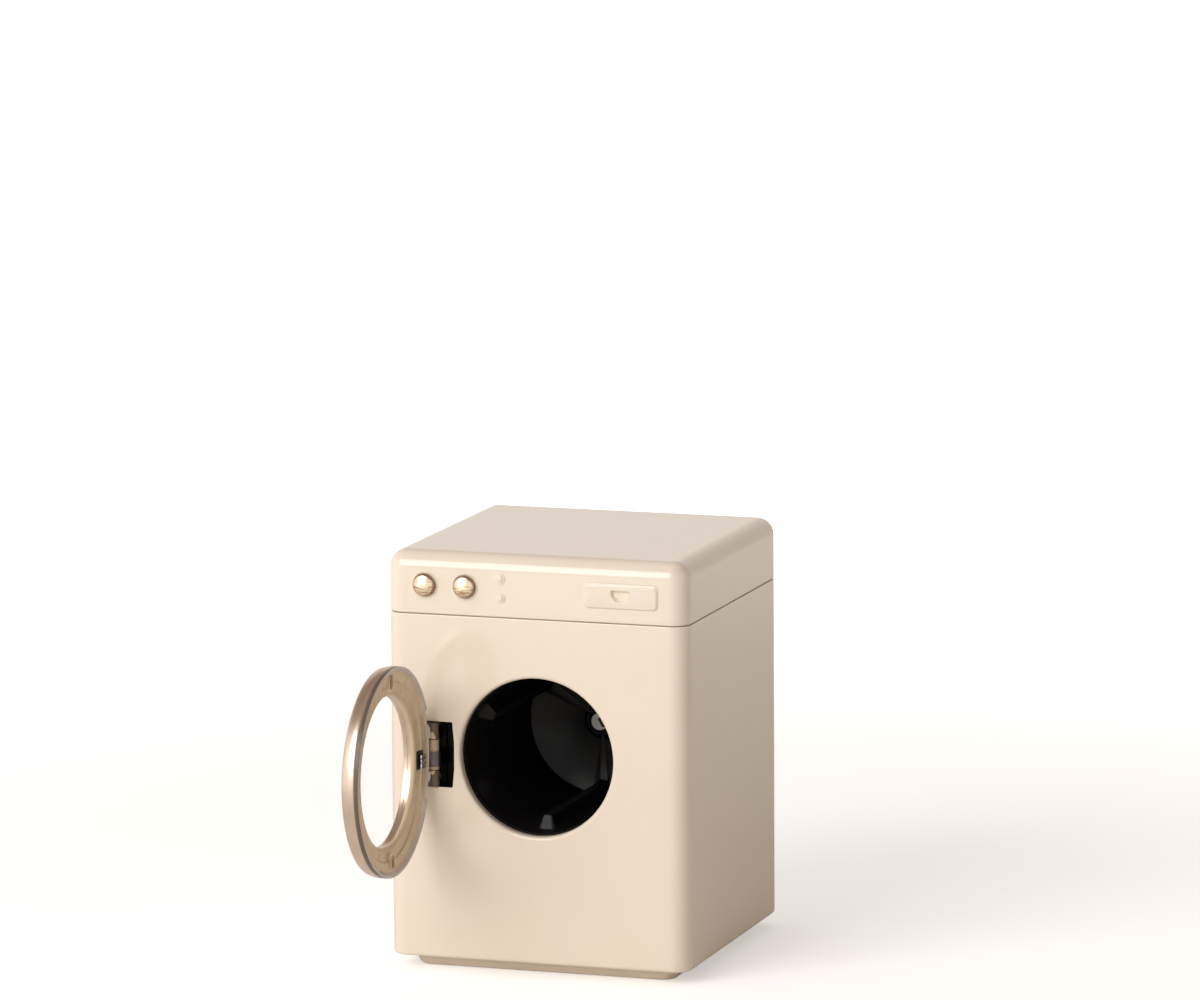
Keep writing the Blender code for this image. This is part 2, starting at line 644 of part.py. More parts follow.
def make_tub_housing(looks):
    """The fixed black housing: tub, front flange, hinge pocket, ribs and two legs."""
    outer = TUB_INNER_R + TUB_WALL
    back = -(TUB_BACK_Y - FRONT_Y)
    front = -(TUB_FRONT_Y - FRONT_Y)
    bore = AXLE_R + FIT
    profile = [
        (TUB_FLANGE_R, front),
        (TUB_FLANGE_R, front - TUB_FLANGE_THICK),
        (outer, front - TUB_FLANGE_THICK),
        (outer, back + TUB_WALL),
        (outer - TUB_WALL, back),
        (bore, back),
        (bore, back + TUB_WALL + TUB_BOSS_LENGTH),
        (TUB_BOSS_R, back + TUB_WALL + TUB_BOSS_LENGTH),
        (TUB_BOSS_R, back + TUB_WALL),
        (TUB_INNER_R, back + TUB_WALL),
        (TUB_INNER_R, front),
    ]
    tub = turned("tub_housing", profile, looks["black"], place=(0.0, FRONT_Y, OPENING_Z))

    rib_depth_low = TUB_FRONT_Y + TUB_FLANGE_THICK / 2
    rib_depth_high = TUB_BACK_Y - TUB_WALL
    for turn_deg in TUB_RIB_TURNS_DEG:
        rib = box(
            "tub rib",
            (-TUB_RIB_THICK / 2, rib_depth_low, outer - TUB_WALL / 2),
            (TUB_RIB_THICK / 2, rib_depth_high, outer + TUB_RIB_RISE),
        )
        rib.location = (0.0, 0.0, OPENING_Z)
        rib.rotation_euler = (0.0, math.radians(turn_deg), 0.0)
        boolean(tub, rib, "UNION")

    leg_bottom = SHEET + FIT
    inside_wall_r = TUB_INNER_R + TUB_WALL / 2
    for leg_x in (-LEG_SPREAD, LEG_SPREAD):
        left = leg_x - LEG_WIDTH / 2
        right = leg_x + LEG_WIDTH / 2
        left_top = OPENING_Z - math.sqrt(inside_wall_r * inside_wall_r - left * left)
        right_top = OPENING_Z - math.sqrt(inside_wall_r * inside_wall_r - right * right)
        post = plate(
            "tub leg",
            [(left, leg_bottom), (right, leg_bottom), (right, right_top), (left, left_top)],
            TUB_BACK_Y - LEG_FOOT - LEG_THICK,
            TUB_BACK_Y - LEG_FOOT,
        )
        foot = box(
            "tub leg foot",
            (left, TUB_BACK_Y - LEG_FOOT - LEG_FOOT, leg_bottom),
            (right, TUB_BACK_Y, leg_bottom + LEG_THICK),
        )
        boolean(tub, post, "UNION")
        boolean(tub, foot, "UNION")

    block = plate(
        "pocket block",
        pocket_outline(POCKET_MARGIN + POCKET_WALL, -inside_wall_r),
        TUB_FRONT_Y,
        POCKET_FLOOR_Y + POCKET_WALL,
    )
    hollow = plate(
        "pocket cutter",
        pocket_outline(POCKET_MARGIN, -outer - FIT),
        TUB_FRONT_Y - CUT_OVERRUN,
        POCKET_FLOOR_Y,
    )
    boolean(tub, block, "UNION")
    boolean(tub, hollow, "DIFFERENCE")
    for z in bracket_screw_heights():
        bore_profile = [
            (0.0, CUT_OVERRUN),
            (BRACKET_SCREW_R + FIT, CUT_OVERRUN),
            (BRACKET_SCREW_R + FIT, -CUT_OVERRUN),
            (0.0, -CUT_OVERRUN),
        ]
        screw_hole = turned(
            "bracket screw hole", bore_profile, place=(bracket_screw_x(), POCKET_FLOOR_Y, z), steps=16
        )
        boolean(tub, screw_hole, "DIFFERENCE")
    return tub


def pocket_outline(margin, right):
    """The hinge pocket: a rectangle behind the hinge window, grown by margin on three sides."""
    left = HINGE_WINDOW_LEFT_X - margin
    return [
        (left, HINGE_WINDOW_BOTTOM_Z - margin),
        (right, HINGE_WINDOW_BOTTOM_Z - margin),
        (right, HINGE_WINDOW_TOP_Z + margin),
        (left, HINGE_WINDOW_TOP_Z + margin),
    ]


def bracket_screw_x():
    """The screws' place across: on the bracket's base, left of the knuckle."""
    return HINGE_WINDOW_LEFT_X + BRACKET_SCREW_HEAD_R


def bracket_screw_heights():
    """The heights of the two bracket screws, above and below the middle knuckle's arm."""
    reach = HINGE_HEIGHT / 2 - BRACKET_SCREW_HEAD_R - FIT
    return (HINGE_Z - reach, HINGE_Z + reach)


def make_hinge_bracket(looks):
    """The machine-side knuckle: its barrel, an arm into the pocket and a base held by two screws."""
    low = HINGE_Z - MIDDLE_KNUCKLE / 2
    high = HINGE_Z + MIDDLE_KNUCKLE / 2
    ring = [(KNUCKLE_R, high), (KNUCKLE_R, low), (HINGE_PIN_R + FIT, low), (HINGE_PIN_R + FIT, high)]
    bracket = turned(
        "hinge_bracket", ring, looks["smoke"], place=(HINGE_X, HINGE_Y, 0.0), facing="up", steps=SMALL_TURN_STEPS
    )
    base_y = POCKET_FLOOR_Y - FIT
    arm = box(
        "bracket arm",
        (HINGE_X - BRACKET_ARM / 2, HINGE_Y + (KNUCKLE_R + HINGE_PIN_R + FIT) / 2, low),
        (HINGE_X + BRACKET_ARM / 2, base_y - BRACKET_THICK / 2, high),
    )
    base = box(
        "bracket base",
        (HINGE_WINDOW_LEFT_X - POCKET_MARGIN + FIT, base_y - BRACKET_THICK, HINGE_Z - HINGE_HEIGHT / 2),
        (HINGE_X + KNUCKLE_R, base_y, HINGE_Z + HINGE_HEIGHT / 2),
    )
    boolean(bracket, arm, "UNION")
    boolean(bracket, base, "UNION")
    for z in bracket_screw_heights():
        hole_r = BRACKET_SCREW_R + FIT
        hole_profile = [(0.0, CUT_OVERRUN), (hole_r, CUT_OVERRUN), (hole_r, -CUT_OVERRUN), (0.0, -CUT_OVERRUN)]
        hole = turned("base hole", hole_profile, place=(bracket_screw_x(), base_y - BRACKET_THICK, z), steps=16)
        boolean(bracket, hole, "DIFFERENCE")
    return bracket


def make_bracket_screws(looks):
    """The two small screws that hold the bracket."""
    head_y = POCKET_FLOOR_Y - FIT - BRACKET_THICK - FIT
    profile = [
        (0.0, BRACKET_SCREW_HEAD),
        (BRACKET_SCREW_HEAD_R - BRACKET_SCREW_HEAD, BRACKET_SCREW_HEAD),
        (BRACKET_SCREW_HEAD_R, 0.0),
        (BRACKET_SCREW_R, 0.0),
        (BRACKET_SCREW_R, -BRACKET_SCREW_LENGTH),
        (0.0, -BRACKET_SCREW_LENGTH),
    ]
    for name, z in zip(("bracket_screw_lower", "bracket_screw_upper"), bracket_screw_heights()):
        turned(name, profile, looks["steel"], place=(bracket_screw_x(), head_y, z), steps=12)


def make_hinge_pin(looks):
    """The pin through the three knuckles."""
    low = HINGE_Z - HINGE_HEIGHT / 2
    high = HINGE_Z + HINGE_HEIGHT / 2
    profile = [(0.0, high), (HINGE_PIN_R, high), (HINGE_PIN_R, low), (0.0, low)]
    return turned("hinge_pin", profile, looks["steel"], place=(HINGE_X, HINGE_Y, 0.0), facing="up", steps=16)


def make_hinge_spring(looks):
    """The steel strip that comes out of the pocket and bears on the middle knuckle."""
    inner = KNUCKLE_R + FIT
    start_deg = 20
    end_deg = -120
    wrap_inner = arc(HINGE_X, HINGE_Y, inner, start_deg, end_deg, 10)
    wrap_outer = arc(HINGE_X, HINGE_Y, inner + SPRING_THICK, end_deg, start_deg, 10)
    foot_y = POCKET_FLOOR_Y - FIT
    foot_x = HINGE_X + KNUCKLE_R + FIT
    outline = [
        (foot_x + SPRING_FOOT, foot_y - SPRING_THICK),
        (foot_x + SPRING_THICK, foot_y - SPRING_THICK),
    ]
    outline += list(reversed(wrap_outer)) + list(reversed(wrap_inner))
    outline += [(foot_x, foot_y), (foot_x + SPRING_FOOT, foot_y)]
    low = SPRING_Z - SPRING_HEIGHT / 2
    return plate("hinge_spring", outline, low, low + SPRING_HEIGHT, looks["steel"], plane="XY")


def door_depth(depth):
    """Height, in the door's turned profiles, of a depth measured from the inner lip."""
    return depth + LIP_SET


def door_turned(name, profile, door, look=None, steps=TURN_STEPS):
    """A turned door piece, centred on the door, under the hinge's empty."""
    return turned(
        name, profile, look, parent=door, place=(HINGE_REACH, 0.0, OPENING_Z - HINGE_Z), steps=steps
    )


def door_box(name, left, right, shallow, deep, low, high, door, look=None):
    """A block on the door: x from the hinge axis, depth from the lip, z from the door's centre."""
    middle_z = OPENING_Z - HINGE_Z
    return box(
        name,
        (left, -door_depth(deep), middle_z + low),
        (right, -door_depth(shallow), middle_z + high),
        look,
        door,
    )


def make_door_band(looks, door):
    """The gold outer band and front face, with its lip notched where the hinge arms pass."""
    shoulder = DOOR_DEPTH - DOOR_SHOULDER_R
    outer_low = DOOR_R - DOOR_TAPER
    profile = [(DOOR_R - FINE_EDGE, door_depth(0.0)), (DOOR_R, door_depth(FINE_EDGE))]
    profile += [
        (
            outer_low - DOOR_SHOULDER_R + DOOR_SHOULDER_R * math.cos(math.radians(turn)),
            door_depth(shoulder + DOOR_SHOULDER_R * math.sin(math.radians(turn))),
        )
        for turn in (0, 22.5, 45, 67.5, 90)
    ]
    profile += [
        (DOOR_HOLE_R + FINE_EDGE, door_depth(DOOR_DEPTH)),
        (DOOR_HOLE_R, door_depth(DOOR_DEPTH - FINE_EDGE)),
        (DOOR_HOLE_R, door_depth(DOOR_DEPTH - DOOR_WALL)),
        (outer_low - DOOR_WALL, door_depth(DOOR_DEPTH - DOOR_WALL)),
        (DOOR_R - DOOR_WALL, door_depth(0.0)),
    ]
    band = door_turned("door_band", list(reversed(profile)), door, looks["gold"])
    reach = HINGE_REACH - math.sqrt(DOOR_R * DOOR_R - NOTCH_HEIGHT * NOTCH_HEIGHT / 4) + CUT_OVERRUN
    notch = door_box(
        "band notch",
        -CUT_OVERRUN,
        reach,
        -CUT_OVERRUN,
        NOTCH_DEPTH,
        -NOTCH_HEIGHT / 2,
        NOTCH_HEIGHT / 2,
        door,
    )
    offset = HINGE_Z - OPENING_Z
    middle = door_box(
        "band middle notch",
        -CUT_OVERRUN,
        reach,
        -CUT_OVERRUN,
        NOTCH_MIDDLE_DEPTH,
        offset - NOTCH_MIDDLE_HEIGHT / 2,
        offset + NOTCH_MIDDLE_HEIGHT / 2,
        door,
    )
    boolean(band, notch, "DIFFERENCE")
    boolean(band, middle, "DIFFERENCE")
    return band


def pane_depth():
    """Depth of the pane's outer face, which rests inside the band's front face."""
    return DOOR_DEPTH - DOOR_WALL - FIT


def bezel_depth():
    """Depth of the bezel's inner surface over its annulus."""
    return pane_depth() - PANE_THICK - FIT - BEZEL_THICK


def make_door_window(looks, door):
    """The clear pane between the band and the bezel."""
    outer = pane_depth()
    inner = outer - PANE_THICK
    profile = [
        (0.0, door_depth(outer)),
        (PANE_R - PANE_EDGE, door_depth(outer)),
        (PANE_R, door_depth(outer - PANE_EDGE)),
        (PANE_R, door_depth(inner + PANE_EDGE)),
        (PANE_R - PANE_EDGE, door_depth(inner)),
        (0.0, door_depth(inner)),
    ]
    return door_turned("door_window", profile, door, looks["clear"])


def make_door_bezel(looks, door):
    """The smoky inner ring with its step, snap bosses, hinge arms and two knuckles."""
    inner = bezel_depth()
    outer = inner + BEZEL_THICK
    raised = inner - BEZEL_STEP
    profile = [
        (BEZEL_R, door_depth(outer - BEZEL_STEP)),
        (BEZEL_R, door_depth(raised)),
        (BEZEL_STEP_R, door_depth(raised)),
        (BEZEL_STEP_R - BEZEL_STEP / 2, door_depth(inner)),
    ]
    lip_centre = DOOR_HOLE_R + BEZEL_LIP_R
    profile += [
        (
            lip_centre - BEZEL_LIP_R * math.sin(math.radians(turn)),
            door_depth(inner + BEZEL_LIP_R - BEZEL_LIP_R * math.cos(math.radians(turn))),
        )
        for turn in (0, 30, 60, 90)
    ]
    profile += [
        (DOOR_HOLE_R, door_depth(outer)),
        (BEZEL_STEP_R, door_depth(outer)),
        (BEZEL_STEP_R, door_depth(outer - BEZEL_STEP)),
    ]
    bezel = door_turned("door_bezel", profile, door, looks["smoke"])
    for name, side in (("top boss", 1), ("bottom boss", -1)):
        boss = plate(
            name,
            boss_outline(side),
            -door_depth(inner + FINE_EDGE),
            -door_depth(inner - BOSS_RISE),
            parent=door,
        )
        boolean(bezel, boss, "UNION")

    offset = HINGE_Z - OPENING_Z
    half = HINGE_HEIGHT / 2
    gap = MIDDLE_KNUCKLE / 2 + FIT
    farthest = abs(offset) + half
    root_x = HINGE_REACH - math.sqrt(BEZEL_R * BEZEL_R - farthest * farthest) + FIT
    inner_x = HINGE_REACH - ARM_INNER_R
    arm_outline = [
        (0.0, -door_depth(0.0)),
        (0.0, -door_depth(ARM_THICK)),
        (root_x, -door_depth(ARM_THICK)),
        (root_x, -door_depth(outer - BEZEL_STEP - FINE_EDGE)),
        (inner_x, -door_depth(outer - BEZEL_STEP - FINE_EDGE)),
        (inner_x, -door_depth(0.0)),
    ]
    for name, low, high in (("upper", gap, half), ("lower", -half, -gap)):
        arm = plate(name + " arm", arm_outline, low + FINE_EDGE, high - FINE_EDGE, parent=door, plane="XY")
        barrel_profile = [(0.0, high), (KNUCKLE_R, high), (KNUCKLE_R, low), (0.0, low)]
        barrel = turned(name + " knuckle", barrel_profile, parent=door, facing="up", steps=SMALL_TURN_STEPS)
        boolean(bezel, arm, "UNION")
        boolean(bezel, barrel, "UNION")
    pin_bore_profile = [
        (0.0, half + CUT_OVERRUN),
        (HINGE_PIN_R + FIT, half + CUT_OVERRUN),
        (HINGE_PIN_R + FIT, -half - CUT_OVERRUN),
        (0.0, -half - CUT_OVERRUN),
    ]
    pin_bore = turned(
        "pin bore", pin_bore_profile, parent=door, facing="up", steps=SMALL_TURN_STEPS
    )
    boolean(bezel, pin_bore, "DIFFERENCE")
    return bezel


def boss_outline(side):
    """A U-shaped wall on the bezel: two radial walls joined by an arch at the inner end."""
    middle_x = HINGE_REACH
    middle_z = OPENING_Z - HINGE_Z
    half = BOSS_WIDTH / 2
    arch_centre = BOSS_INNER_R + half
    outer_end = BOSS_INNER_R + BOSS_LENGTH
    outer_arc = arc(0.0, arch_centre, half, 180, 360, 10)
    inner_arc = arc(0.0, arch_centre, half - BOSS_WALL, 360, 180, 10)
    points = [(-half, outer_end)] + outer_arc + [(half, outer_end)]
    points += [(half - BOSS_WALL, outer_end)] + inner_arc + [(-half + BOSS_WALL, outer_end)]
    return [(middle_x + across, middle_z + side * along) for across, along in points]


def make_door_spring_plate(looks, door):
    """The small steel plate that lies on the bezel, where the hinge spring bears."""
    inner = bezel_depth() - BEZEL_STEP - FIT
    offset = SPRING_Z - OPENING_Z
    x_inner = HINGE_REACH - ARM_INNER_R + FIT
    return door_box(
        "door_spring_plate",
        x_inner - SPRING_PLATE_WIDTH,
        x_inner,
        inner - SPRING_PLATE_THICK,
        inner,
        offset - SPRING_HEIGHT / 2,
        offset + SPRING_HEIGHT / 2,
        door,
        looks["steel"],
    )


def drum_front():
    """Height of the drum's front edge in its turned profile."""
    return -FLANGE_DEPTH - DRUM_FRONT_GAP


def drum_back():
    """Height of the drum's rear face, in front of the washer on the tub's boss."""
    boss_face = -(TUB_BACK_Y - FRONT_Y) + TUB_WALL + TUB_BOSS_LENGTH
    return boss_face + FIT + WASHER_THICK + FIT


def make_drum(looks):
    """The drum: a rolled front edge, lifter ribs, and a raised hub round the axle."""
    outer = TUB_INNER_R - DRUM_GAP
    inner = outer - DRUM_WALL
    front = drum_front()
    back = drum_back()
    bore = AXLE_R + FIT
    profile = [
        (outer - DRUM_LIP_R, front),
        (outer, front - DRUM_LIP_R),
        (outer, back + DRUM_WALL),
        (outer - DRUM_WALL, back),
        (bore, back),
        (bore, back + DRUM_WALL + HUB_RISE),
        (HUB_R - HUB_RISE, back + DRUM_WALL + HUB_RISE),
        (HUB_R, back + DRUM_WALL),
        (inner - DRUM_WALL, back + DRUM_WALL),
        (inner, back + DRUM_WALL + DRUM_WALL),
        (inner, front - DRUM_LIP_R),
        (inner + DRUM_LIP_R / 2, front),
    ]
    drum = turned("drum", profile, looks["black"], place=(0.0, FRONT_Y, OPENING_Z))
    half = LIFTER_BASE / 2
    for index in range(LIFTER_COUNT):
        outline = [
            (-half, inner + FINE_EDGE),
            (-half * LIFTER_TOP_SHARE, inner - LIFTER_HEIGHT),
            (half * LIFTER_TOP_SHARE, inner - LIFTER_HEIGHT),
            (half, inner + FINE_EDGE),
        ]
        lifter = plate(
            "lifter",
            outline,
            FRONT_Y - front + LIFTER_END_GAP,
            FRONT_Y - back - DRUM_WALL + FINE_EDGE,
        )
        lifter.location = (0.0, 0.0, OPENING_Z)
        lifter.rotation_euler = (0.0, math.radians(360 * index / LIFTER_COUNT + 60), 0.0)
        boolean(drum, lifter, "UNION")
    return drum


def make_axle(looks):
    """The shoulder screw through the drum's hub, the washer behind it and the nut at the back."""
    place = (0.0, FRONT_Y, OPENING_Z)
    hub_face = drum_back() + DRUM_WALL + HUB_RISE
    head = hub_face + FIT
    tub_back = -(TUB_BACK_Y - FRONT_Y)
    tail = tub_back - FIT - NUT_THICK - FIT
    profile = [
        (0.0, head + AXLE_HEAD),
        (AXLE_HEAD_R - AXLE_HEAD / 2, head + AXLE_HEAD),
        (AXLE_HEAD_R, head + AXLE_HEAD / 2),
        (AXLE_HEAD_R, head),
        (AXLE_R, head),
        (AXLE_R, tail),
        (0.0, tail),
    ]
    turned("axle_screw", profile, looks["steel"], place=place, steps=32)
    washer_top = drum_back() - FIT
    bore = AXLE_R + FIT
    washer = [
        (WASHER_R, washer_top),
        (WASHER_R, washer_top - WASHER_THICK),
        (bore, washer_top - WASHER_THICK),
        (bore, washer_top),
    ]
    turned("axle_washer", washer, looks["steel"], place=place, steps=32)
    nut_top = tub_back - FIT
    nut = [
        (NUT_R, nut_top),
        (NUT_R, nut_top - NUT_THICK),
        (bore, nut_top - NUT_THICK),
        (bore, nut_top),
    ]
    turned("axle_nut", nut, looks["steel"], place=place, steps=6)


def build():
    """Make every piece in the order of assembly."""
    start_empty()
    looks = make_materials()
    make_case_wrap(looks)
    make_neck_collar(looks)
    make_lid(looks)
    make_base_pan(looks)
    make_knob("left", KNOB_LEFT_X, looks)
    make_knob("right", KNOB_RIGHT_X, looks)
    make_tub_housing(looks)
    make_drum(looks)
    make_axle(looks)
    make_hinge_bracket(looks)
    make_bracket_screws(looks)
    make_hinge_pin(looks)
    make_hinge_spring(looks)

    door = bpy.data.objects.new("door hinge axis", None)
    part_collection.objects.link(door)
    door.location = (HINGE_X, HINGE_Y, HINGE_Z)
    door.rotation_euler = (0.0, 0.0, -math.radians(OPEN_ANGLE_DEG))
    make_door_band(looks, door)
    make_door_window(looks, door)
    make_door_bezel(looks, door)
    make_door_spring_plate(looks, door)


build()
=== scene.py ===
# Toy washing machine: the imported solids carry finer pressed, turned and moulded surfaces here, each
# with its own procedural finish. Metres, +Z up, and every piece rides on the body of the solid that
# it stands for.
import math

import bmesh
import bpy
import numpy as np
from mathutils import Matrix, Vector
from mathutils.geometry import delaunay_2d_cdt


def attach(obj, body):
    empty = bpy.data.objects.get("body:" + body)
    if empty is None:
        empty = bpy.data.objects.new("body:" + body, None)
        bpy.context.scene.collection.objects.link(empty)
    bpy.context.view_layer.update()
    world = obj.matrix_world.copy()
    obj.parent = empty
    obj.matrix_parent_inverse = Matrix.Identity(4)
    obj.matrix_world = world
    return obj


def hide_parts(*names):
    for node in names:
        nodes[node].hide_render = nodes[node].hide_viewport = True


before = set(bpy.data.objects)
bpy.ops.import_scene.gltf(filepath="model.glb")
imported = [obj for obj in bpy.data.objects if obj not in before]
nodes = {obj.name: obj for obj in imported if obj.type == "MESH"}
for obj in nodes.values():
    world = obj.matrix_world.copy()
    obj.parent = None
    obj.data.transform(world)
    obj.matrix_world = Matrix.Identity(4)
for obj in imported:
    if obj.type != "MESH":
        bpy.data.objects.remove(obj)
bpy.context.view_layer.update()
scene = bpy.context.scene
scene.view_settings.view_transform = "Standard"


# Casing
# One sheet of painted steel, bent round into front, sides and back. Its bottom edge is rolled in, the
# round opening is drawn inwards to a short flange, and the hinge window is punched out beside it.
MM = 0.001
CASE_WIDTH = 93.0 * MM
CASE_DEPTH = 91.8 * MM
CASE_CORNER_R = 5.4 * MM
SHEET = 0.8 * MM
FRONT_Y = -CASE_DEPTH / 2
CASE_BASE_Z = 3.8 * MM
CASE_TOP_Z = 107.1 * MM
HEM_R = 1.2 * MM
HEM_REACH = 2.6 * MM
WALL_LOW_Z = 5.4 * MM
WALL_HIGH_Z = 106.6 * MM
OPENING_Z = 65.8 * MM
OPENING_R = 23.65 * MM
FLANGE_DEPTH = 3.2 * MM
MOUTH_R = 24.9 * MM
MOUTH_SUPPORT_R = 25.06 * MM
MOUTH_STEPS = 240
WINDOW_LEFT = -34.1 * MM
WINDOW_RIGHT = -26.0 * MM
WINDOW_BOTTOM = 55.45 * MM
WINDOW_TOP = 75.15 * MM
WINDOW_SWELL = 0.5 * MM
WINDOW_MARGIN = 0.25 * MM
WINDOW_SUPPORT = 0.36 * MM
CORNER_X = CASE_WIDTH / 2 - CASE_CORNER_R
CORNER_Y = CASE_DEPTH / 2 - CASE_CORNER_R
MERGE_WITHIN = 2e-6
SHARP_EDGE = math.radians(35)
BEVEL_EDGE = math.radians(40)


class Link:
    """A shader socket that can be used in a sum, so that a mask reads as a formula."""

    def __init__(self, sheet, socket):
        self.sheet = sheet
        self.socket = socket

    def math(self, operation, other=0.0, swapped=False):
        pair = (other, self) if swapped else (self, other)
        return self.sheet.node("ShaderNodeMath", {"operation": operation}, pair)

    def __add__(self, other):
        return self.math("ADD", other)

    def __radd__(self, other):
        return self.math("ADD", other)

    def __sub__(self, other):
        return self.math("SUBTRACT", other)

    def __rsub__(self, other):
        return self.math("SUBTRACT", other, swapped=True)

    def __mul__(self, other):
        return self.math("MULTIPLY", other)

    def rising(self, low, high):
        """0 below low, 1 above high, with a soft step between."""
        settings = {"interpolation_type": "SMOOTHSTEP"}
        return self.sheet.node("ShaderNodeMapRange", settings, {0: self, 1: low, 2: high})

    def stops(self, *stops):
        """A ramp of (position, colour) stops."""
        return self.sheet.node("ShaderNodeValToRGB", {"stops": stops}, {"Fac": self})


class Sheet:
    """The nodes of one material or of the world."""

    def __init__(self, owner):
        owner.use_nodes = True
        self.tree = owner.node_tree
        self.tree.nodes.clear()

    def node(self, kind, settings=None, values=None, out=0):
        """One node: its settings first, then the values or links of its sockets."""
        made = self.tree.nodes.new(kind)
        for name, value in (settings or {}).items():
            if name == "stops":
                ramp = made.color_ramp
                for index, (position, colour) in enumerate(value):
                    stop = ramp.elements[index] if index < 2 else ramp.elements.new(position)
                    stop.position = position
                    stop.color = (*colour[:3], 1.0)
            else:
                setattr(made, name, value)
        pairs = values.items() if isinstance(values, dict) else enumerate(values or ())
        for name, value in pairs:
            if isinstance(value, Link):
                self.tree.links.new(value.socket, made.inputs[name])
            else:
                made.inputs[name].default_value = value
        return Link(self, made.outputs[out])

    def place(self):
        """Object coordinates, and their three numbers."""
        spot = self.node("ShaderNodeTexCoord", out=3)
        split = self.node("ShaderNodeSeparateXYZ", {}, {0: spot})
        outputs = split.socket.node.outputs
        return spot, [Link(self, outputs[index]) for index in range(3)]

    def noise(self, spot, scale, detail=2.0, roughness=0.5, stretch=None):
        """Smooth noise from 0 to 1, with scale in waves a metre."""
        if stretch is not None:
            spot = self.node("ShaderNodeVectorMath", {"operation": "MULTIPLY"}, {0: spot, 1: stretch})
        values = {"Vector": spot, "Scale": scale, "Detail": detail, "Roughness": roughness}
        return self.node("ShaderNodeTexNoise", {}, values)

    def tint(self, share, first, second):
        """From the first colour to the second as share goes from 0 to 1."""
        return self.node("ShaderNodeMix", {"data_type": "RGBA"}, {0: share, 6: first, 7: second}, out=2)

    def relief(self, height, depth):
        """A bump whose height of 1 stands depth metres proud."""
        return self.node("ShaderNodeBump", {}, {"Height": height, "Distance": depth, "Strength": 1.0})

    def close(self, shader, kind="ShaderNodeOutputMaterial"):
        self.tree.links.new(shader.socket, self.tree.nodes.new(kind).inputs["Surface"])

    def finish(self, **values):
        """A Principled surface; an underscore in a value's name stands for the socket's space."""
        named = {name.replace("_", " "): value for name, value in values.items()}
        self.close(self.node("ShaderNodeBsdfPrincipled", {}, named))


class Skin:
    """Grids and flat fills gathered into one closed mesh."""

    def __init__(self):
        self.points = []
        self.faces = []
        self.count = 0

    def grid(self, points, closed_across=False, closed_along=False):
        """A surface of rows by columns points; closed joins its last column or row to its first."""
        rows, columns = points.shape[:2]
        index = np.arange(rows * columns).reshape(rows, columns) + self.count
        if closed_across:
            index = np.concatenate([index, index[:, :1]], axis=1)
        if closed_along:
            index = np.concatenate([index, index[:1]], axis=0)
        corners = (index[:-1, :-1], index[:-1, 1:], index[1:, 1:], index[1:, :-1])
        self.faces += np.stack(corners, axis=-1).reshape(-1, 4).tolist()
        self.points.append(points.reshape(-1, 3))
        self.count += rows * columns

    def plan(self, section, marks, least_r=0.0):
        """A section of (inset, height) points carried round the case's plan outline."""
        rings = [plan_ring(inset, z, least_r, marks) for inset, z in section]
        self.grid(np.stack(rings), closed_across=True)

    def sunk(self, loops, rises):
        """A wall through loops of (x, z) places, each standing proud of the front by its rise in mm."""
        rings = [front_lift(-rise * MM)(loop) for loop, rise in zip(loops, rises)]
        self.grid(np.stack(rings), closed_across=True)

    def fill(self, loops, lift, extras=()):
        """Flat triangles inside the first loop and outside the others, through the extra points.

        A triangle is kept where a line to the right of its middle crosses the loops' edges an odd
        number of times. lift turns the flat places into places in space.
        """
        flat = np.concatenate([*loops, *extras])
        edges = []
        start = 0
        for loop in loops:
            run = np.arange(len(loop)) + start
            edges.append(np.stack([run, np.roll(run, -1)], axis=1))
            start += len(loop)
        edges = np.concatenate(edges)
        spots, _, triangles, *_ = delaunay_2d_cdt(flat.tolist(), edges.tolist(), [], 0, 1e-9, False)
        spots = np.array(spots)
        triangles = np.array(triangles)
        middles = spots[triangles].mean(axis=1)
        first, second = flat[edges[:, 0]], flat[edges[:, 1]]
        spans = (first[None, :, 1] > middles[:, None, 1]) != (second[None, :, 1] > middles[:, None, 1])
        rise = second[:, 1] - first[:, 1]
        rise = np.where(rise == 0.0, 1.0, rise)
        slope = (second[:, 0] - first[:, 0]) / rise
        crossing = first[None, :, 0] + (middles[:, None, 1] - first[None, :, 1]) * slope[None, :]
        inside = (spans & (crossing > middles[:, None, 0])).sum(axis=1) % 2 == 1
        self.faces += (triangles[inside] + self.count).tolist()
        self.points.append(lift(spots))
        self.count += len(spots)

    def piece(self, name, body, replaced, look, bevel=0.0):
        """The closed mesh as a piece: doubles merged, faces outwards, sharp edges kept crisp."""
        mesh = bpy.data.meshes.new(name)
        mesh.from_pydata(np.concatenate(self.points).tolist(), [], self.faces)
        form = bmesh.new()
        form.from_mesh(mesh)
        bmesh.ops.remove_doubles(form, verts=form.verts, dist=MERGE_WITHIN)
        bmesh.ops.recalc_face_normals(form, faces=form.faces)
        form.to_mesh(mesh)
        form.free()
        mesh.polygons.foreach_set("use_smooth", [True] * len(mesh.polygons))
        mesh.set_sharp_from_angle(angle=SHARP_EDGE)
        mesh.materials.append(look)
        made = bpy.data.objects.new(name, mesh)
        scene.collection.objects.link(made)
        if bevel:
            rounding = made.modifiers.new("rounding", "BEVEL")
            rounding.width = bevel
            rounding.segments = 2
            rounding.limit_method = "ANGLE"
            rounding.angle_limit = BEVEL_EDGE
            rounding.harden_normals = True
        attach(made, body)
        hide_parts(*replaced)
        return made


def curve(centre, radius, start, end, steps):
    """An arc in degrees as an array of flat points, both ends included."""
    turn = np.radians(np.linspace(start, end, steps + 1))
    return np.stack([centre[0] + radius * np.cos(turn), centre[1] + radius * np.sin(turn)], axis=1)


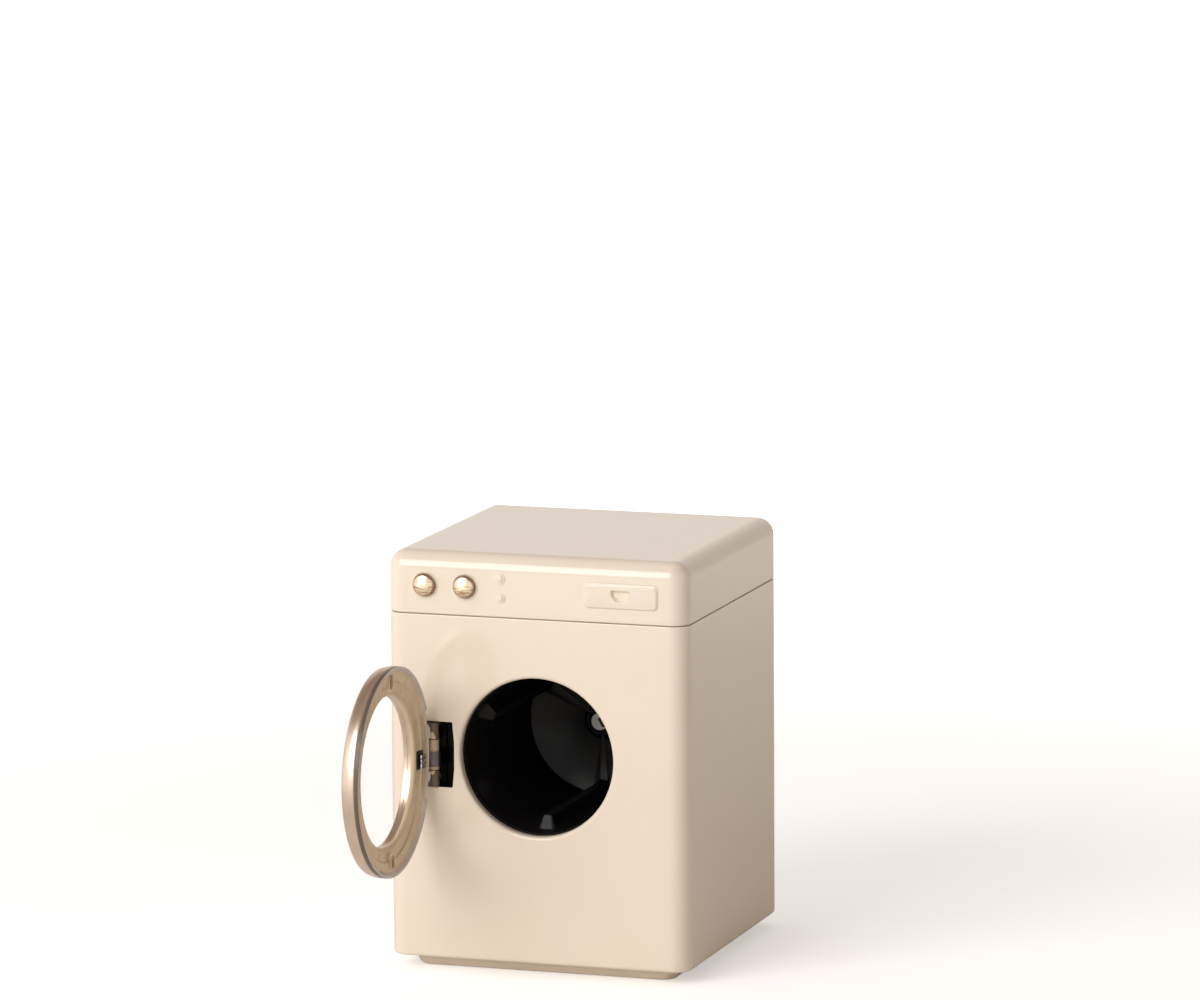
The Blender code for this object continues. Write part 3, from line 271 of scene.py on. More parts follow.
def plan_ring(inset, height, least_r=0.0, marks=((), (), (), ())):
    """The case's plan outline drawn in by inset: four arcs of 14 steps joined by straight sides.

    It runs anticlockwise from the front right corner. marks holds each side's extra points, as shares
    of the straight length from -1 to 1 in the order right, back, left and front.
    """
    radius = max(CASE_CORNER_R - inset, least_r)
    centre_x = CASE_WIDTH / 2 - inset - radius
    centre_y = CASE_DEPTH / 2 - inset - radius
    parts = []
    for quarter, (across, along) in enumerate(((1, -1), (1, 1), (-1, 1), (-1, -1))):
        turn = 90 * quarter
        parts.append(curve((across * centre_x, along * centre_y), radius, turn - 90, turn, 14))
        share = np.array(marks[quarter], dtype=float)
        ahead = np.array((math.cos(math.radians(turn + 90)), math.sin(math.radians(turn + 90))))
        out = np.array((math.cos(math.radians(turn)), math.sin(math.radians(turn))))
        half = centre_y if quarter % 2 == 0 else centre_x
        far = CASE_WIDTH / 2 - inset if quarter % 2 == 0 else CASE_DEPTH / 2 - inset
        parts.append(share[:, None] * half * ahead + far * out)
    flat = np.concatenate(parts)
    return np.concatenate([flat, np.full((len(flat), 1), height)], axis=1)


def turned(profile, place, out, steps, bulge=None):
    """A profile of (radius, rise) points turned round an axis through place that points along out.

    out is "front" for -Y or "up" for +Z. bulge gives what is added to each point's radius.
    """
    profile = np.asarray(profile, dtype=float)
    turn = np.radians(np.linspace(0, 360, steps, endpoint=False))
    radius = profile[:, None, 0] + np.zeros_like(turn)[None, :]
    if bulge is not None:
        radius = radius + bulge(profile[:, None, :], turn[None, :])
    rise = profile[:, None, 1] + np.zeros_like(turn)[None, :]
    across, along = radius * np.cos(turn), radius * np.sin(turn)
    order = (across, -rise, along) if out == "front" else (across, along, rise)
    return np.stack(order, axis=-1) + np.array(place)


def rounded(left, right, bottom, top, radius, steps=8):
    """A rectangle with rounded corners, anticlockwise from the right bottom corner."""
    corners = (
        curve((right - radius, bottom + radius), radius, -90, 0, steps),
        curve((right - radius, top - radius), radius, 0, 90, steps),
        curve((left + radius, top - radius), radius, 90, 180, steps),
        curve((left + radius, bottom + radius), radius, 180, 270, steps),
    )
    return np.concatenate(corners)


def level_lift(height):
    """Flat (x, y) places on a level plane."""
    return lambda flat: np.concatenate([flat, np.full((len(flat), 1), height)], axis=1)


def front_lift(depth):
    """Flat (x, z) places on a plane at a depth behind the casing's front."""
    return lambda flat: np.stack([flat[:, 0], np.full(len(flat), FRONT_Y + depth), flat[:, 1]], axis=1)


def rgb(red, green, blue):
    """A colour as it reads on the screen, from 0 to 255, in the shader's linear values."""
    shares = np.array((red, green, blue)) / 255.0
    linear = np.where(shares <= 0.04045, shares / 12.92, ((shares + 0.055) / 1.055) ** 2.4)
    return (*map(float, linear), 1.0)


def enamel_paint(name, first, second, roughness):
    """Sprayed gloss paint: two close tones in slow clouds and the fine ripple of its flow."""
    look = bpy.data.materials.new(name)
    sheet = Sheet(look)
    spot, _ = sheet.place()
    clouds = sheet.noise(spot, 30.0, 3.0, 0.6)
    ripple = sheet.noise(spot, 520.0, 1.0, 0.4)
    specks = sheet.noise(spot, 2600.0, 1.0, 0.5).rising(0.70, 0.80)
    height = ripple * 0.8 + specks * 0.2
    sheet.finish(
        Base_Color=sheet.tint(clouds.rising(0.3, 0.7), first, second),
        Roughness=roughness + clouds * 0.04,
        Coat_Weight=0.30,
        Coat_Roughness=0.04,
        Normal=sheet.relief(height, 0.0000030),
    )
    return look


enamel = enamel_paint("cream enamel", rgb(243, 229, 210), rgb(245, 231, 213), 0.11)

seam_places = (-4.2, -3.4, -3.1, -2.9, -2.6, 2.2, 2.5, 2.75, 2.9, 3.1, 3.4, 4.2)
seam_marks = np.array(seam_places) * MM / CORNER_X
side_marks = np.linspace(-0.97, 0.97, 13)
front_marks = np.linspace(-0.97, 0.97, 25)
case_marks = (side_marks, -seam_marks[::-1], side_marks, front_marks)
inner_z = np.linspace(9 * MM, 103 * MM, 24)
wall_z = np.concatenate([[WALL_LOW_Z, 5.8 * MM], inner_z, [105.6 * MM, WALL_HIGH_Z]])


def lock_seam(ring):
    """The folded seam down the back: 6 mm wide, 0.3 mm proud, one edge creased, its ends faded out."""
    x, y, z = ring[:, 0], ring[:, 1], ring[:, 2]
    across = np.clip((3.3 * MM - np.abs(x)) / (0.5 * MM), 0, 1)
    ends = np.clip((z - 5.3 * MM) / (0.4 * MM), 0, 1) * np.clip((106.2 * MM - z) / (0.5 * MM), 0, 1)
    crease = np.exp(-(((x - 2.75 * MM) / (0.12 * MM)) ** 2))
    rise = (across - 0.6 * crease) * ends * (y > 0.9 * CORNER_Y) * 0.3 * MM
    return ring + np.stack([np.zeros_like(rise), rise, np.zeros_like(rise)], axis=1)


casing = Skin()
low_section = [(0.0, WALL_LOW_Z)]
low_section += curve((HEM_R, CASE_BASE_Z + HEM_R), HEM_R, 180, 270, 8).tolist()
low_section += [(2.3 * MM, CASE_BASE_Z), (2.52 * MM, 3.88 * MM), (HEM_REACH, 4.1 * MM)]
low_section += [(HEM_REACH, 4.3 * MM), (2.52 * MM, 4.52 * MM), (2.3 * MM, 4.6 * MM)]
low_section += curve((HEM_R, CASE_BASE_Z + HEM_R), HEM_R - SHEET, 270, 180, 6).tolist()
low_section.append((SHEET, WALL_LOW_Z))
casing.plan(low_section, case_marks)
top_section = [(0.0, WALL_HIGH_Z), (0.0, 106.9 * MM), (0.06 * MM, 107.04 * MM), (0.2 * MM, CASE_TOP_Z)]
top_section += [(0.6 * MM, CASE_TOP_Z), (0.74 * MM, 107.04 * MM), (SHEET, 106.9 * MM)]
top_section.append((SHEET, WALL_HIGH_Z))
casing.plan(top_section, case_marks)
front_count = len(front_marks)
for inset, shape in ((0.0, lock_seam), (SHEET, lambda ring: ring)):
    rings = [shape(plan_ring(inset, z, marks=case_marks)) for z in wall_z]
    casing.grid(np.stack(rings)[:, : len(rings[0]) - front_count])

mouth_centre = (0.0, FRONT_Y, OPENING_Z)
lip = [(MOUTH_R, 0.0)]
lip += curve((24.75 * MM, -1.1 * MM), 1.1 * MM, 90, 180, 10).tolist()
lip += [(OPENING_R, -2.95 * MM), (23.71 * MM, -3.12 * MM), (23.88 * MM, -FLANGE_DEPTH)]
lip += [(24.25 * MM, -FLANGE_DEPTH), (24.4 * MM, -3.1 * MM), (24.45 * MM, -2.95 * MM)]
lip += curve((24.75 * MM, -1.1 * MM), 0.3 * MM, 180, 90, 5).tolist()
lip.append((MOUTH_R, -SHEET))
casing.grid(turned(lip, mouth_centre, "front", MOUTH_STEPS), closed_across=True)


def hinge_window(margin):
    """The punched window grown by margin: a rounded slot whose right side swells by 0.5 mm.

    The swell rises over the lowest third of the height and falls over the highest third.
    """
    left, right = WINDOW_LEFT - margin, WINDOW_RIGHT + margin
    bottom, top = WINDOW_BOTTOM - margin, WINDOW_TOP + margin
    radius = 0.5 * MM + max(margin, 0.0)
    lower = curve((right - radius, bottom + radius), radius, -90, 0, 6)
    upper = curve((right - radius, top - radius), radius, 0, 90, 6)
    climb = np.linspace(bottom + radius, top - radius, 42)[1:-1]
    side = np.stack([np.full_like(climb, right), climb], axis=1)
    left_side = rounded(left, right, bottom, top, radius, 6)[14:]
    path = np.concatenate([lower, side, upper, left_side])
    share = (path[:, 1] - bottom) / (top - bottom)
    rise = np.clip(share / 0.34, 0, 1)
    fall = np.clip((1 - share) / 0.36, 0, 1)
    swell = (rise * rise * (3 - 2 * rise)) * (fall * fall * (3 - 2 * fall))
    path[:, 0] += np.where(path[:, 0] > (left + right) / 2, WINDOW_SWELL * swell, 0.0)
    return path


# The window's punched edge: (margin, rise) of each line in millimetres.
window_lines = (
    (0.25, 0.0), (0.14, 0.0), (0.05, -0.04), (0.0, -0.13), (0.0, -0.67), (0.05, -0.76), (0.14, -0.8),
    (0.25, -0.8),
)
window_loops = [hinge_window(margin * MM) for margin, _ in window_lines]
casing.sunk(window_loops, [rise for _, rise in window_lines])

front_x = np.concatenate([[-CORNER_X], front_marks * CORNER_X, [CORNER_X]])


def front_outline(levels):
    """The flat front's border through its side points, whose heights are levels."""
    inner = levels[1:-1]
    return np.concatenate(
        [
            np.stack([front_x, np.full_like(front_x, levels[0])], axis=1),
            np.stack([np.full_like(inner, CORNER_X), inner], axis=1),
            np.stack([front_x[::-1], np.full_like(front_x, levels[-1])], axis=1),
            np.stack([np.full_like(inner, -CORNER_X), inner[::-1]], axis=1),
        ]
    )


front_frame = front_outline(wall_z)
mouth = turned([(MOUTH_R, 0.0)], mouth_centre, "front", MOUTH_STEPS)[0][:, [0, 2]]
mouth_support = turned([(MOUTH_SUPPORT_R, 0.0)], mouth_centre, "front", MOUTH_STEPS)[0][:, [0, 2]]
for depth in (0.0, SHEET):
    near_edge = rounded(-CORNER_X + 0.4 * MM, CORNER_X - 0.4 * MM, 5.8 * MM, 106.2 * MM, 0.2 * MM, 2)
    grid_x, grid_z = np.meshgrid(np.linspace(-38, 38, 14) * MM, np.linspace(9, 103, 16) * MM)
    loose = np.stack([grid_x.ravel(), grid_z.ravel()], axis=1)
    clear_mouth = np.hypot(loose[:, 0], loose[:, 1] - OPENING_Z) > 27.5 * MM
    beside_window = np.abs(loose[:, 0] + 30 * MM) > 7 * MM
    above_or_below = np.abs(loose[:, 1] - 65.3 * MM) > 12 * MM
    loose = loose[clear_mouth & (beside_window | above_or_below)]
    casing.fill(
        [front_frame, mouth, hinge_window(WINDOW_MARGIN)],
        front_lift(depth),
        [mouth_support, hinge_window(WINDOW_SUPPORT), near_edge, loose],
    )
casing.piece("casing", "machine", ["case_wrap"], enamel)

nodes["neck_collar"].material_slots[0].material = enamel


# Lid
# A deep-drawn cap of the same painted sheet, slipped over the collar. A drawer front, its finger cup,
# two signal dots and two raised rings for the knobs are embossed in its front.
LID_LOW_Z = 107.4 * MM
LID_TOP_Z = 125.8 * MM
LID_EDGE_R = 5.2 * MM
LID_WALL_LOW_Z = 107.9 * MM
LID_WALL_HIGH_Z = LID_TOP_Z - LID_EDGE_R
KNOB_Z = 116.0 * MM
KNOB_X = (-34.2 * MM, -21.7 * MM)
DOT_X = -10.6 * MM
DOT_Z = (118.8 * MM, 113.1 * MM)
CUP_LEFT = 23.7 * MM
CUP_RIGHT = 29.45 * MM
CUP_TOP = 117.1 * MM
CUP_HEIGHT = 3.5 * MM

lid_marks = (side_marks, side_marks, side_marks, front_marks)
lid = Skin()
rim = [(0.0, LID_WALL_LOW_Z), (0.0, 107.6 * MM), (0.06 * MM, 107.46 * MM), (0.2 * MM, LID_LOW_Z)]
rim += [(0.6 * MM, LID_LOW_Z), (0.74 * MM, 107.46 * MM), (SHEET, 107.6 * MM), (SHEET, LID_WALL_LOW_Z)]
lid.plan(rim, lid_marks)
lid_wall_z = np.array((LID_WALL_LOW_Z, 108.4 * MM, 112.0 * MM, 116.0 * MM, 120.0 * MM, LID_WALL_HIGH_Z))
for inset in (0.0, SHEET):
    rings = [plan_ring(inset, z, marks=lid_marks) for z in lid_wall_z]
    lid.grid(np.stack(rings)[:, : len(rings[0]) - front_count])
    edge = curve((LID_EDGE_R, LID_WALL_HIGH_Z), LID_EDGE_R - inset, 180, 90, 14)
    rings = [plan_ring(offset, z, 0.15 * MM, lid_marks) for offset, z in edge]
    rings.append(plan_ring(LID_EDGE_R + 0.5 * MM, LID_TOP_Z - inset, 0.15 * MM, lid_marks))
    lid.grid(np.stack(rings), closed_across=True)
    grid_x, grid_y = np.meshgrid(np.linspace(-36, 36, 9) * MM, np.linspace(-36, 36, 9) * MM)
    inner_places = np.stack([grid_x.ravel(), grid_y.ravel()], axis=1)
    lid.fill([rings[-1][:, :2]], level_lift(LID_TOP_Z - inset), [inner_places])


# The drawer front steps up once at its sides and twice at its top: (left, right, bottom, top, corner,
# rise) of each line in millimetres.
drawer_lines = (
    (14.60, 38.45, 111.20, 119.60, 2.00, 0.0),
    (14.95, 38.10, 111.52, 119.28, 1.70, 0.0),
    (15.03, 38.02, 111.58, 119.20, 1.65, 0.06),
    (15.13, 37.92, 111.66, 119.10, 1.60, 0.20),
    (15.21, 37.84, 111.72, 119.02, 1.55, 0.27),
    (15.27, 37.78, 111.76, 118.90, 1.50, 0.30),
    (15.31, 37.74, 111.79, 118.38, 1.40, 0.31),
    (15.37, 37.68, 111.83, 118.29, 1.35, 0.36),
    (15.47, 37.58, 111.90, 118.19, 1.30, 0.49),
    (15.57, 37.48, 111.98, 118.09, 1.25, 0.57),
    (15.72, 37.33, 112.10, 117.95, 1.20, 0.60),
)
drawer_loops = [rounded(*[value * MM for value in line[:5]], 10) for line in drawer_lines]
lid.sunk(drawer_loops, [line[5] for line in drawer_lines])


def half_moon(margin):
    """The finger cup's outline grown by margin: a chord above, and an arc through its lower side."""
    middle = (CUP_LEFT + CUP_RIGHT) / 2
    half = (CUP_RIGHT - CUP_LEFT) / 2
    radius = (half * half + CUP_HEIGHT * CUP_HEIGHT) / (2 * CUP_HEIGHT)
    centre = CUP_TOP - CUP_HEIGHT + radius
    grown = radius + margin
    chord = CUP_TOP + margin - centre
    reach = math.degrees(math.asin(chord / grown))
    arc = curve((middle, centre), grown, 180 - reach, 360 + reach, 48)
    line = np.linspace(arc[-1], arc[0], 14)[1:-1]
    return np.concatenate([arc, line])


# The cup sinks in two steps: (growth of its outline, rise) in millimetres.
cup_lines = (
    (0.22, 0.60), (0.12, 0.59), (0.05, 0.56), (-0.02, 0.48), (-0.09, 0.36), (-0.20, 0.12),
    (-0.34, -0.16), (-0.43, -0.32), (-0.51, -0.41), (-0.60, -0.47), (-0.72, -0.50), (-0.90, -0.50),
)
cup_loops = [half_moon(grow * MM) for grow, _ in cup_lines]
lid.sunk(cup_loops, [rise for _, rise in cup_lines])
lid.fill([cup_loops[-1]], front_lift(0.5 * MM), [half_moon(-1.2 * MM)])
lid.fill([drawer_loops[-1], cup_loops[0]], front_lift(-0.6 * MM), [half_moon(0.5 * MM)])

dot_profile = (
    (1.70, 0.0), (1.62, 0.0), (1.57, 0.04), (1.52, 0.13), (1.46, 0.22), (1.38, 0.28), (1.27, 0.30),
    (1.16, 0.28), (1.08, 0.28), (1.01, 0.34), (0.94, 0.44), (0.84, 0.54), (0.70, 0.62), (0.50, 0.67),
    (0.25, 0.695), (0.0, 0.70),
)
seat_profile = (
    (4.35, 0.0), (4.08, 0.0), (4.0, 0.03), (3.93, 0.12), (3.86, 0.22), (3.78, 0.28), (3.68, 0.30),
    (3.58, 0.26), (3.5, 0.15), (3.44, 0.05), (3.36, 0.0), (2.8, 0.0), (1.3, 0.0), (1.16, -0.03),
    (1.1, -0.12), (1.1, -0.68), (1.2, -0.8),
)
front_holes = []
back_holes = []
for z in DOT_Z:
    profile = np.array(dot_profile) * MM
    dot = turned(profile, (DOT_X, FRONT_Y, z), "front", 48)
    lid.grid(dot, closed_across=True)
    front_holes.append(dot[0][:, [0, 2]])
for x in KNOB_X:
    profile = np.array(seat_profile) * MM
    seat = turned(profile, (x, FRONT_Y, KNOB_Z), "front", 96)
    lid.grid(seat, closed_across=True)
    front_holes.append(seat[0][:, [0, 2]])
    back_holes.append(seat[-1][:, [0, 2]])

lid_frame = front_outline(lid_wall_z)
lid_support = rounded(-40.7 * MM, 40.7 * MM, 108.3 * MM, 120.54 * MM, 0.04 * MM, 2)
lid.fill([lid_frame, drawer_loops[0], *front_holes], front_lift(0.0), [lid_support])
backing_lines = ((1.0, -0.8), (0.8, -0.86), (0.6, -1.0), (0.4, -1.16), (0.1, -1.2))
backing = [half_moon(grow * MM) for grow, _ in backing_lines]
lid.sunk(backing, [rise for _, rise in backing_lines])
lid.fill([backing[-1]], front_lift(1.2 * MM))
lid.fill([lid_frame, backing[0], *back_holes], front_lift(SHEET), [lid_support])
lid.piece("lid_cap", "lid", ["lid"], enamel)


# Foot pan
# A shallow pan of the same paint pressed into the casing's hem, with a sloping foot below it.
PAN_CORNER_R = 4.0 * MM
PAN_BEND_R = 1.2 * MM
FOOT_EDGE_R = 1.2 * MM
FOOT_INSET = 6.8 * MM

foot_enamel = enamel_paint("foot enamel", rgb(240, 224, 203), rgb(243, 227, 206), 0.26)
pan = Skin()
foot_turn = math.pi / 2 - math.atan2(2.2, 4.9)
foot_centre = FOOT_INSET + FOOT_EDGE_R * math.tan(foot_turn / 2)
pan_outer = []
for turn in np.linspace(0.0, foot_turn, 7):
    pan_outer.append((foot_centre - FOOT_EDGE_R * math.sin(turn), FOOT_EDGE_R * (1 - math.cos(turn))))
pan_outer += [(4.78 * MM, 4.5 * MM), (4.66 * MM, 4.74 * MM), (4.45 * MM, 4.87 * MM)]
pan_outer += [(4.2 * MM, 4.9 * MM), (2.9 * MM, 4.9 * MM)]
pan_outer += curve((2.3 * MM, 6.1 * MM), PAN_BEND_R, 270, 180, 6).tolist()
pan_outer += [(1.1 * MM, 9.7 * MM), (1.15 * MM, 9.85 * MM), (1.3 * MM, 9.9 * MM)]
pan_inner = [(1.7 * MM, 9.9 * MM), (1.85 * MM, 9.85 * MM), (1.9 * MM, 9.7 * MM), (1.9 * MM, 6.1 * MM)]
pan_inner += [(2.0 * MM, 5.8 * MM), (2.3 * MM, 5.7 * MM), (5.0 * MM, 5.7 * MM), (5.4 * MM, 5.4 * MM)]
pan_inner += [(7.3 * MM, 1.3 * MM), (7.9 * MM, 0.85 * MM), (8.4 * MM, 0.8 * MM)]
pan.plan(pan_outer + pan_inner, lid_marks, PAN_CORNER_R)
for inset, z in (pan_outer[0], pan_inner[-1]):
    pan.fill([plan_ring(inset, z, PAN_CORNER_R, lid_marks)[:, :2]], level_lift(z))
pan.piece("foot_pan", "machine", ["base_pan"], foot_enamel)


# Knobs
# Brass-coloured, vacuum-plated buttons with a domed head on a short shank, held behind the lid by
# push-on washers. The left one has a small pointer at its edge.
brass = bpy.data.materials.new("plated brass")
sheet = Sheet(brass)
spot, (x, y, z) = sheet.place()
lower = 1.0 - z.rising(KNOB_Z - 0.6 * MM, KNOB_Z + 1.4 * MM)
crinkle = sheet.noise(spot, 900.0, 3.0, 0.62, (0.32, 1.0, 2.1))
haze = sheet.noise(spot, 350.0, 3.0, 0.6)
# Crinkle grooves in brown, made stronger over the lower half of each head as painted shade.
grooves_and_low_shade = crinkle.rising(0.50, 0.42) * (0.30 + lower * 0.55)
offset_z = (z - KNOB_Z) * (z - KNOB_Z)
from_left = (x - KNOB_X[0]) * (x - KNOB_X[0]) + offset_z
from_right = (x - KNOB_X[1]) * (x - KNOB_X[1]) + offset_z
# Painted shade: the rim of each head turns dark brown, standing for the dark seat ring it mirrors and
# the shadow in that ring.
rim = from_left.math("MINIMUM", from_right).rising((2.75 * MM) ** 2, (3.25 * MM) ** 2)
grooved_and_shaded = sheet.tint(grooves_and_low_shade, (0.90, 0.71, 0.51, 1.0), (0.45, 0.28, 0.17, 1.0))
sheet.finish(
    Base_Color=sheet.tint(rim * 0.85, grooved_and_shaded, (0.30, 0.17, 0.10, 1.0)),
    Metallic=1.0,
    Roughness=0.17 + haze * 0.12,
    Normal=sheet.relief(crinkle * (0.30 + lower * 0.70), 0.00022),
)

KNOB_R = 3.3 * MM
KNOB_FACE_R = 2.8 * MM
DOME_R = 6.3 * MM
KNOB_FRONT = 2.4 * MM
SHANK_R = 0.8 * MM
SHANK_LENGTH = 2.6 * MM
dome_reach = math.degrees(math.asin(KNOB_FACE_R / DOME_R))
dome = curve((0.0, KNOB_FRONT - DOME_R), DOME_R, 90, 90 - dome_reach, 16)
shoulder_r = (KNOB_R - KNOB_FACE_R) / (1 - math.sin(math.radians(dome_reach)))
shoulder_rise = dome[-1][1] - shoulder_r * math.cos(math.radians(dome_reach))
shoulder = curve((KNOB_R - shoulder_r, shoulder_rise), shoulder_r, 90 - dome_reach, 0, 10)
knob_profile = [(max(radius, 0.0), rise) for radius, rise in dome]
knob_profile += shoulder[1:].tolist()
knob_profile += [(KNOB_R, 0.42 * MM), (3.22 * MM, 0.32 * MM), (3.1 * MM, 0.3 * MM)]
knob_profile += [(0.9 * MM, 0.3 * MM), (SHANK_R, 0.2 * MM), (SHANK_R, -2.45 * MM)]
knob_profile += [(0.65 * MM, -SHANK_LENGTH), (0.0, -SHANK_LENGTH)]


def pointer(points, turn):
    """A narrow bump of the rim towards the right, 0.4 mm long, that fades up the dome."""
    radius = points[..., 0]
    share = np.clip((radius - 2.6 * MM) / (0.7 * MM), 0, 1) * (points[..., 1] > 0.25 * MM)
    offset = np.minimum(turn, 2 * math.pi - turn)
    return 0.4 * MM * share * np.clip(1 - offset / 0.26, 0, 1) ** 1.5


for side, x in zip(("left", "right"), KNOB_X):
    knob = Skin()
    bump = pointer if side == "left" else None
    knob.grid(turned(knob_profile, (x, FRONT_Y, KNOB_Z), "front", 120, bump), closed_across=True)
    knob.piece("knob_head_" + side, "knob_" + side, ["knob_" + side], brass)

steel = bpy.data.materials.new("dull steel")
sheet = Sheet(steel)
spot, _ = sheet.place()
grain = sheet.noise(spot, 700.0, 3.0, 0.6, (1.0, 1.0, 0.12))
sheet.finish(
    Base_Color=sheet.tint(grain, (0.46, 0.46, 0.47, 1.0), (0.34, 0.33, 0.33, 1.0)),
    Metallic=1.0,
    Roughness=0.24 + grain * 0.2,
    Normal=sheet.relief(grain, 0.00001),
)
for name in ("knob_clip_left", "knob_clip_right"):
    nodes[name].material_slots[0].material = steel


# Door band
# The outer ring and front face of the door, moulded in one piece and plated satin gold. Its inner lip
# is notched on the hinge side, where the bezel's arms and the middle knuckle pass.
HINGE_X = -31.8 * MM
HINGE_Y = -45.8 * MM
HINGE_Z = 65.3 * MM
OPEN_TURN = math.radians(-90.3)
LIP_SET = 0.5 * MM
# The door's own sizes are plain numbers of millimetres, and on_door turns them into places.
DOOR_MIDDLE = 31.8
DOOR_HEIGHT = 65.8
DOOR_R = 31.0
BAND_EDGE = 1.4
BAND_FACE = 5.6
BEZEL_R = 29.2


def on_door(across, depth, z):
    """Places on the door in millimetres: across from the hinge axis and depth out from its lip.

    They are turned with the door to its open rest place, about the upright axis of the hinge.
    """
    x = across * MM
    y = -(depth * MM + LIP_SET)
    return np.stack(
        [
            HINGE_X + x * math.cos(OPEN_TURN) - y * math.sin(OPEN_TURN),
            HINGE_Y + x * math.sin(OPEN_TURN) + y * math.cos(OPEN_TURN),
            z * MM,
        ],
        axis=-1,
    )


def round_door(profile, turn, change=None):
    """A profile of (radius, depth) points in millimetres turned round the middle of the door.

    change gives the new radius and depth of every point from its radius, depth and turn.
    """
    profile = np.asarray(profile, dtype=float)
    radius = profile[:, None, 0] + np.zeros_like(turn)[None, :]
    depth = profile[:, None, 1] + np.zeros_like(turn)[None, :]
    if change is not None:
        radius, depth = change(radius, depth, turn[None, :])
    return on_door(DOOR_MIDDLE + radius * np.cos(turn), depth, DOOR_HEIGHT + radius * np.sin(turn))


gold = bpy.data.materials.new("satin gold")
sheet = Sheet(gold)
spot, _ = sheet.place()
haze = sheet.noise(spot, 160.0, 3.0, 0.6)
flow = sheet.noise(spot, 520.0, 2.0, 0.5)
sheet.finish(
    Base_Color=sheet.tint(haze.rising(0.3, 0.7), (0.78, 0.62, 0.50, 1.0), (0.72, 0.56, 0.44, 1.0)),
    Metallic=1.0,
    Roughness=0.27 + haze * 0.08,
    Normal=sheet.relief(flow * 0.7 + sheet.noise(spot, 5200.0, 1.0, 0.5) * 0.3, 0.000010),
)

# The notch reaches 13.4 mm above and below the door's middle, and its deep part 4.5 mm above and
# 5.5 mm below.
notch_ends = math.pi + np.array([math.asin(reach / DOOR_R) for reach in (-13.4, -4.5, 5.5, 13.4)])
fine = (notch_ends[:, None] + np.linspace(-0.012, 0.012, 7)[None, :]).ravel()
door_turns = np.unique(np.concatenate([np.linspace(0, 2 * math.pi, 300, endpoint=False), fine]))


def step(value, edge, width=0.008):
    """A soft step of value from 0 to 1 across edge."""
    share = np.clip((value - edge) / width + 0.5, 0, 1)
    return share * share * (3 - 2 * share)


def lip_notch(radius, depth, turn):
    """The lip's edge sinks to 2.4 mm where the middle knuckle passes, beside it to 1.3 mm at least."""
    outer = step(turn, notch_ends[0]) * (1 - step(turn, notch_ends[3]))
    middle = step(turn, notch_ends[1]) * (1 - step(turn, notch_ends[2]))
    floor = 1.3 * outer + 1.1 * middle
    return radius, np.maximum(depth, floor + 0.3 * (depth - BAND_EDGE))


band_profile = [(29.85, 1.65), (29.95, 1.45), (30.2, BAND_EDGE), (30.75, BAND_EDGE), (30.92, 1.45)]
band_profile += [(DOOR_R, depth) for depth in (1.6, 1.9, 2.4, 2.7)]
band_profile += [(30.9, 3.2)]
band_profile += curve((29.2, 4.2), 1.4, 20, 90, 10).tolist()
band_profile += [(28.7, BAND_FACE), (22.9, BAND_FACE), (22.55, BAND_FACE)]
band_profile += curve((22.5, 5.3), 0.3, 90, 180, 5).tolist()
band_profile += [(22.2, 4.42), (22.26, 4.36), (22.6, 4.36), (25.9, 4.36), (26.2, 4.6), (29.2, 4.6)]
band_profile += [(29.5, 4.5), (29.62, 4.2)]
band_profile += [(29.85, depth) for depth in (2.7, 2.4, 1.9)]
band = Skin()
band.grid(round_door(band_profile, door_turns, lip_notch), closed_across=True, closed_along=True)
band.piece("door_ring", "door", ["door_band"], gold)


# Door bezel
# The door's smoky inner ring: two snap bosses hold it to the band, and its two arms reach back over
# the casing's front to the outer knuckles of the hinge.
HINGE_DROP = 0.5
HINGE_HALF = 9.5
MIDDLE_HALF = 4.8
ARM_GAP = 0.3
KNUCKLE_R = 1.55
PIN_BORE_R = 0.9
BOSS_OUTER_R = 2.1
BOSS_INNER_R = 1.3
BOSS_END = 28.4

smoke = bpy.data.materials.new("smoky plastic")
sheet = Sheet(smoke)
spot, (x, y, z) = sheet.place()
haze = sheet.noise(spot, 90.0, 2.0, 0.5)
across = y - (HINGE_Y - DOOR_MIDDLE * MM)
upwards = z - OPENING_Z
from_middle = across * across + upwards * upwards
off_knuckles = 1.0 - y.rising(-47.7 * MM, -47.6 * MM)
# Painted highlight: a thin pale purple-grey line along the rim's rounded edge, kept off the knuckles.
rim = from_middle.rising((29.62 * MM) ** 2, (29.74 * MM) ** 2) * off_knuckles
# Painted shade: the outer wall of the ring, at 31 mm from its middle, is painted dark brown.
side_wall_shade = from_middle.rising((30.90 * MM) ** 2, (30.97 * MM) ** 2)
# Painted shade: a dark patch on the leaf beside the hinge, where the black pocket shows through; it is
# also made a little more opaque.
slot_across = y.rising(-54.3 * MM, -54.1 * MM) - y.rising(-50.4 * MM, -50.2 * MM)
slot_up = z.rising(61.6 * MM, 61.8 * MM) - z.rising(67.3 * MM, 67.5 * MM)
slot_shade = slot_across * slot_up
knuckles = y.rising(-48.7 * MM, -48.0 * MM)
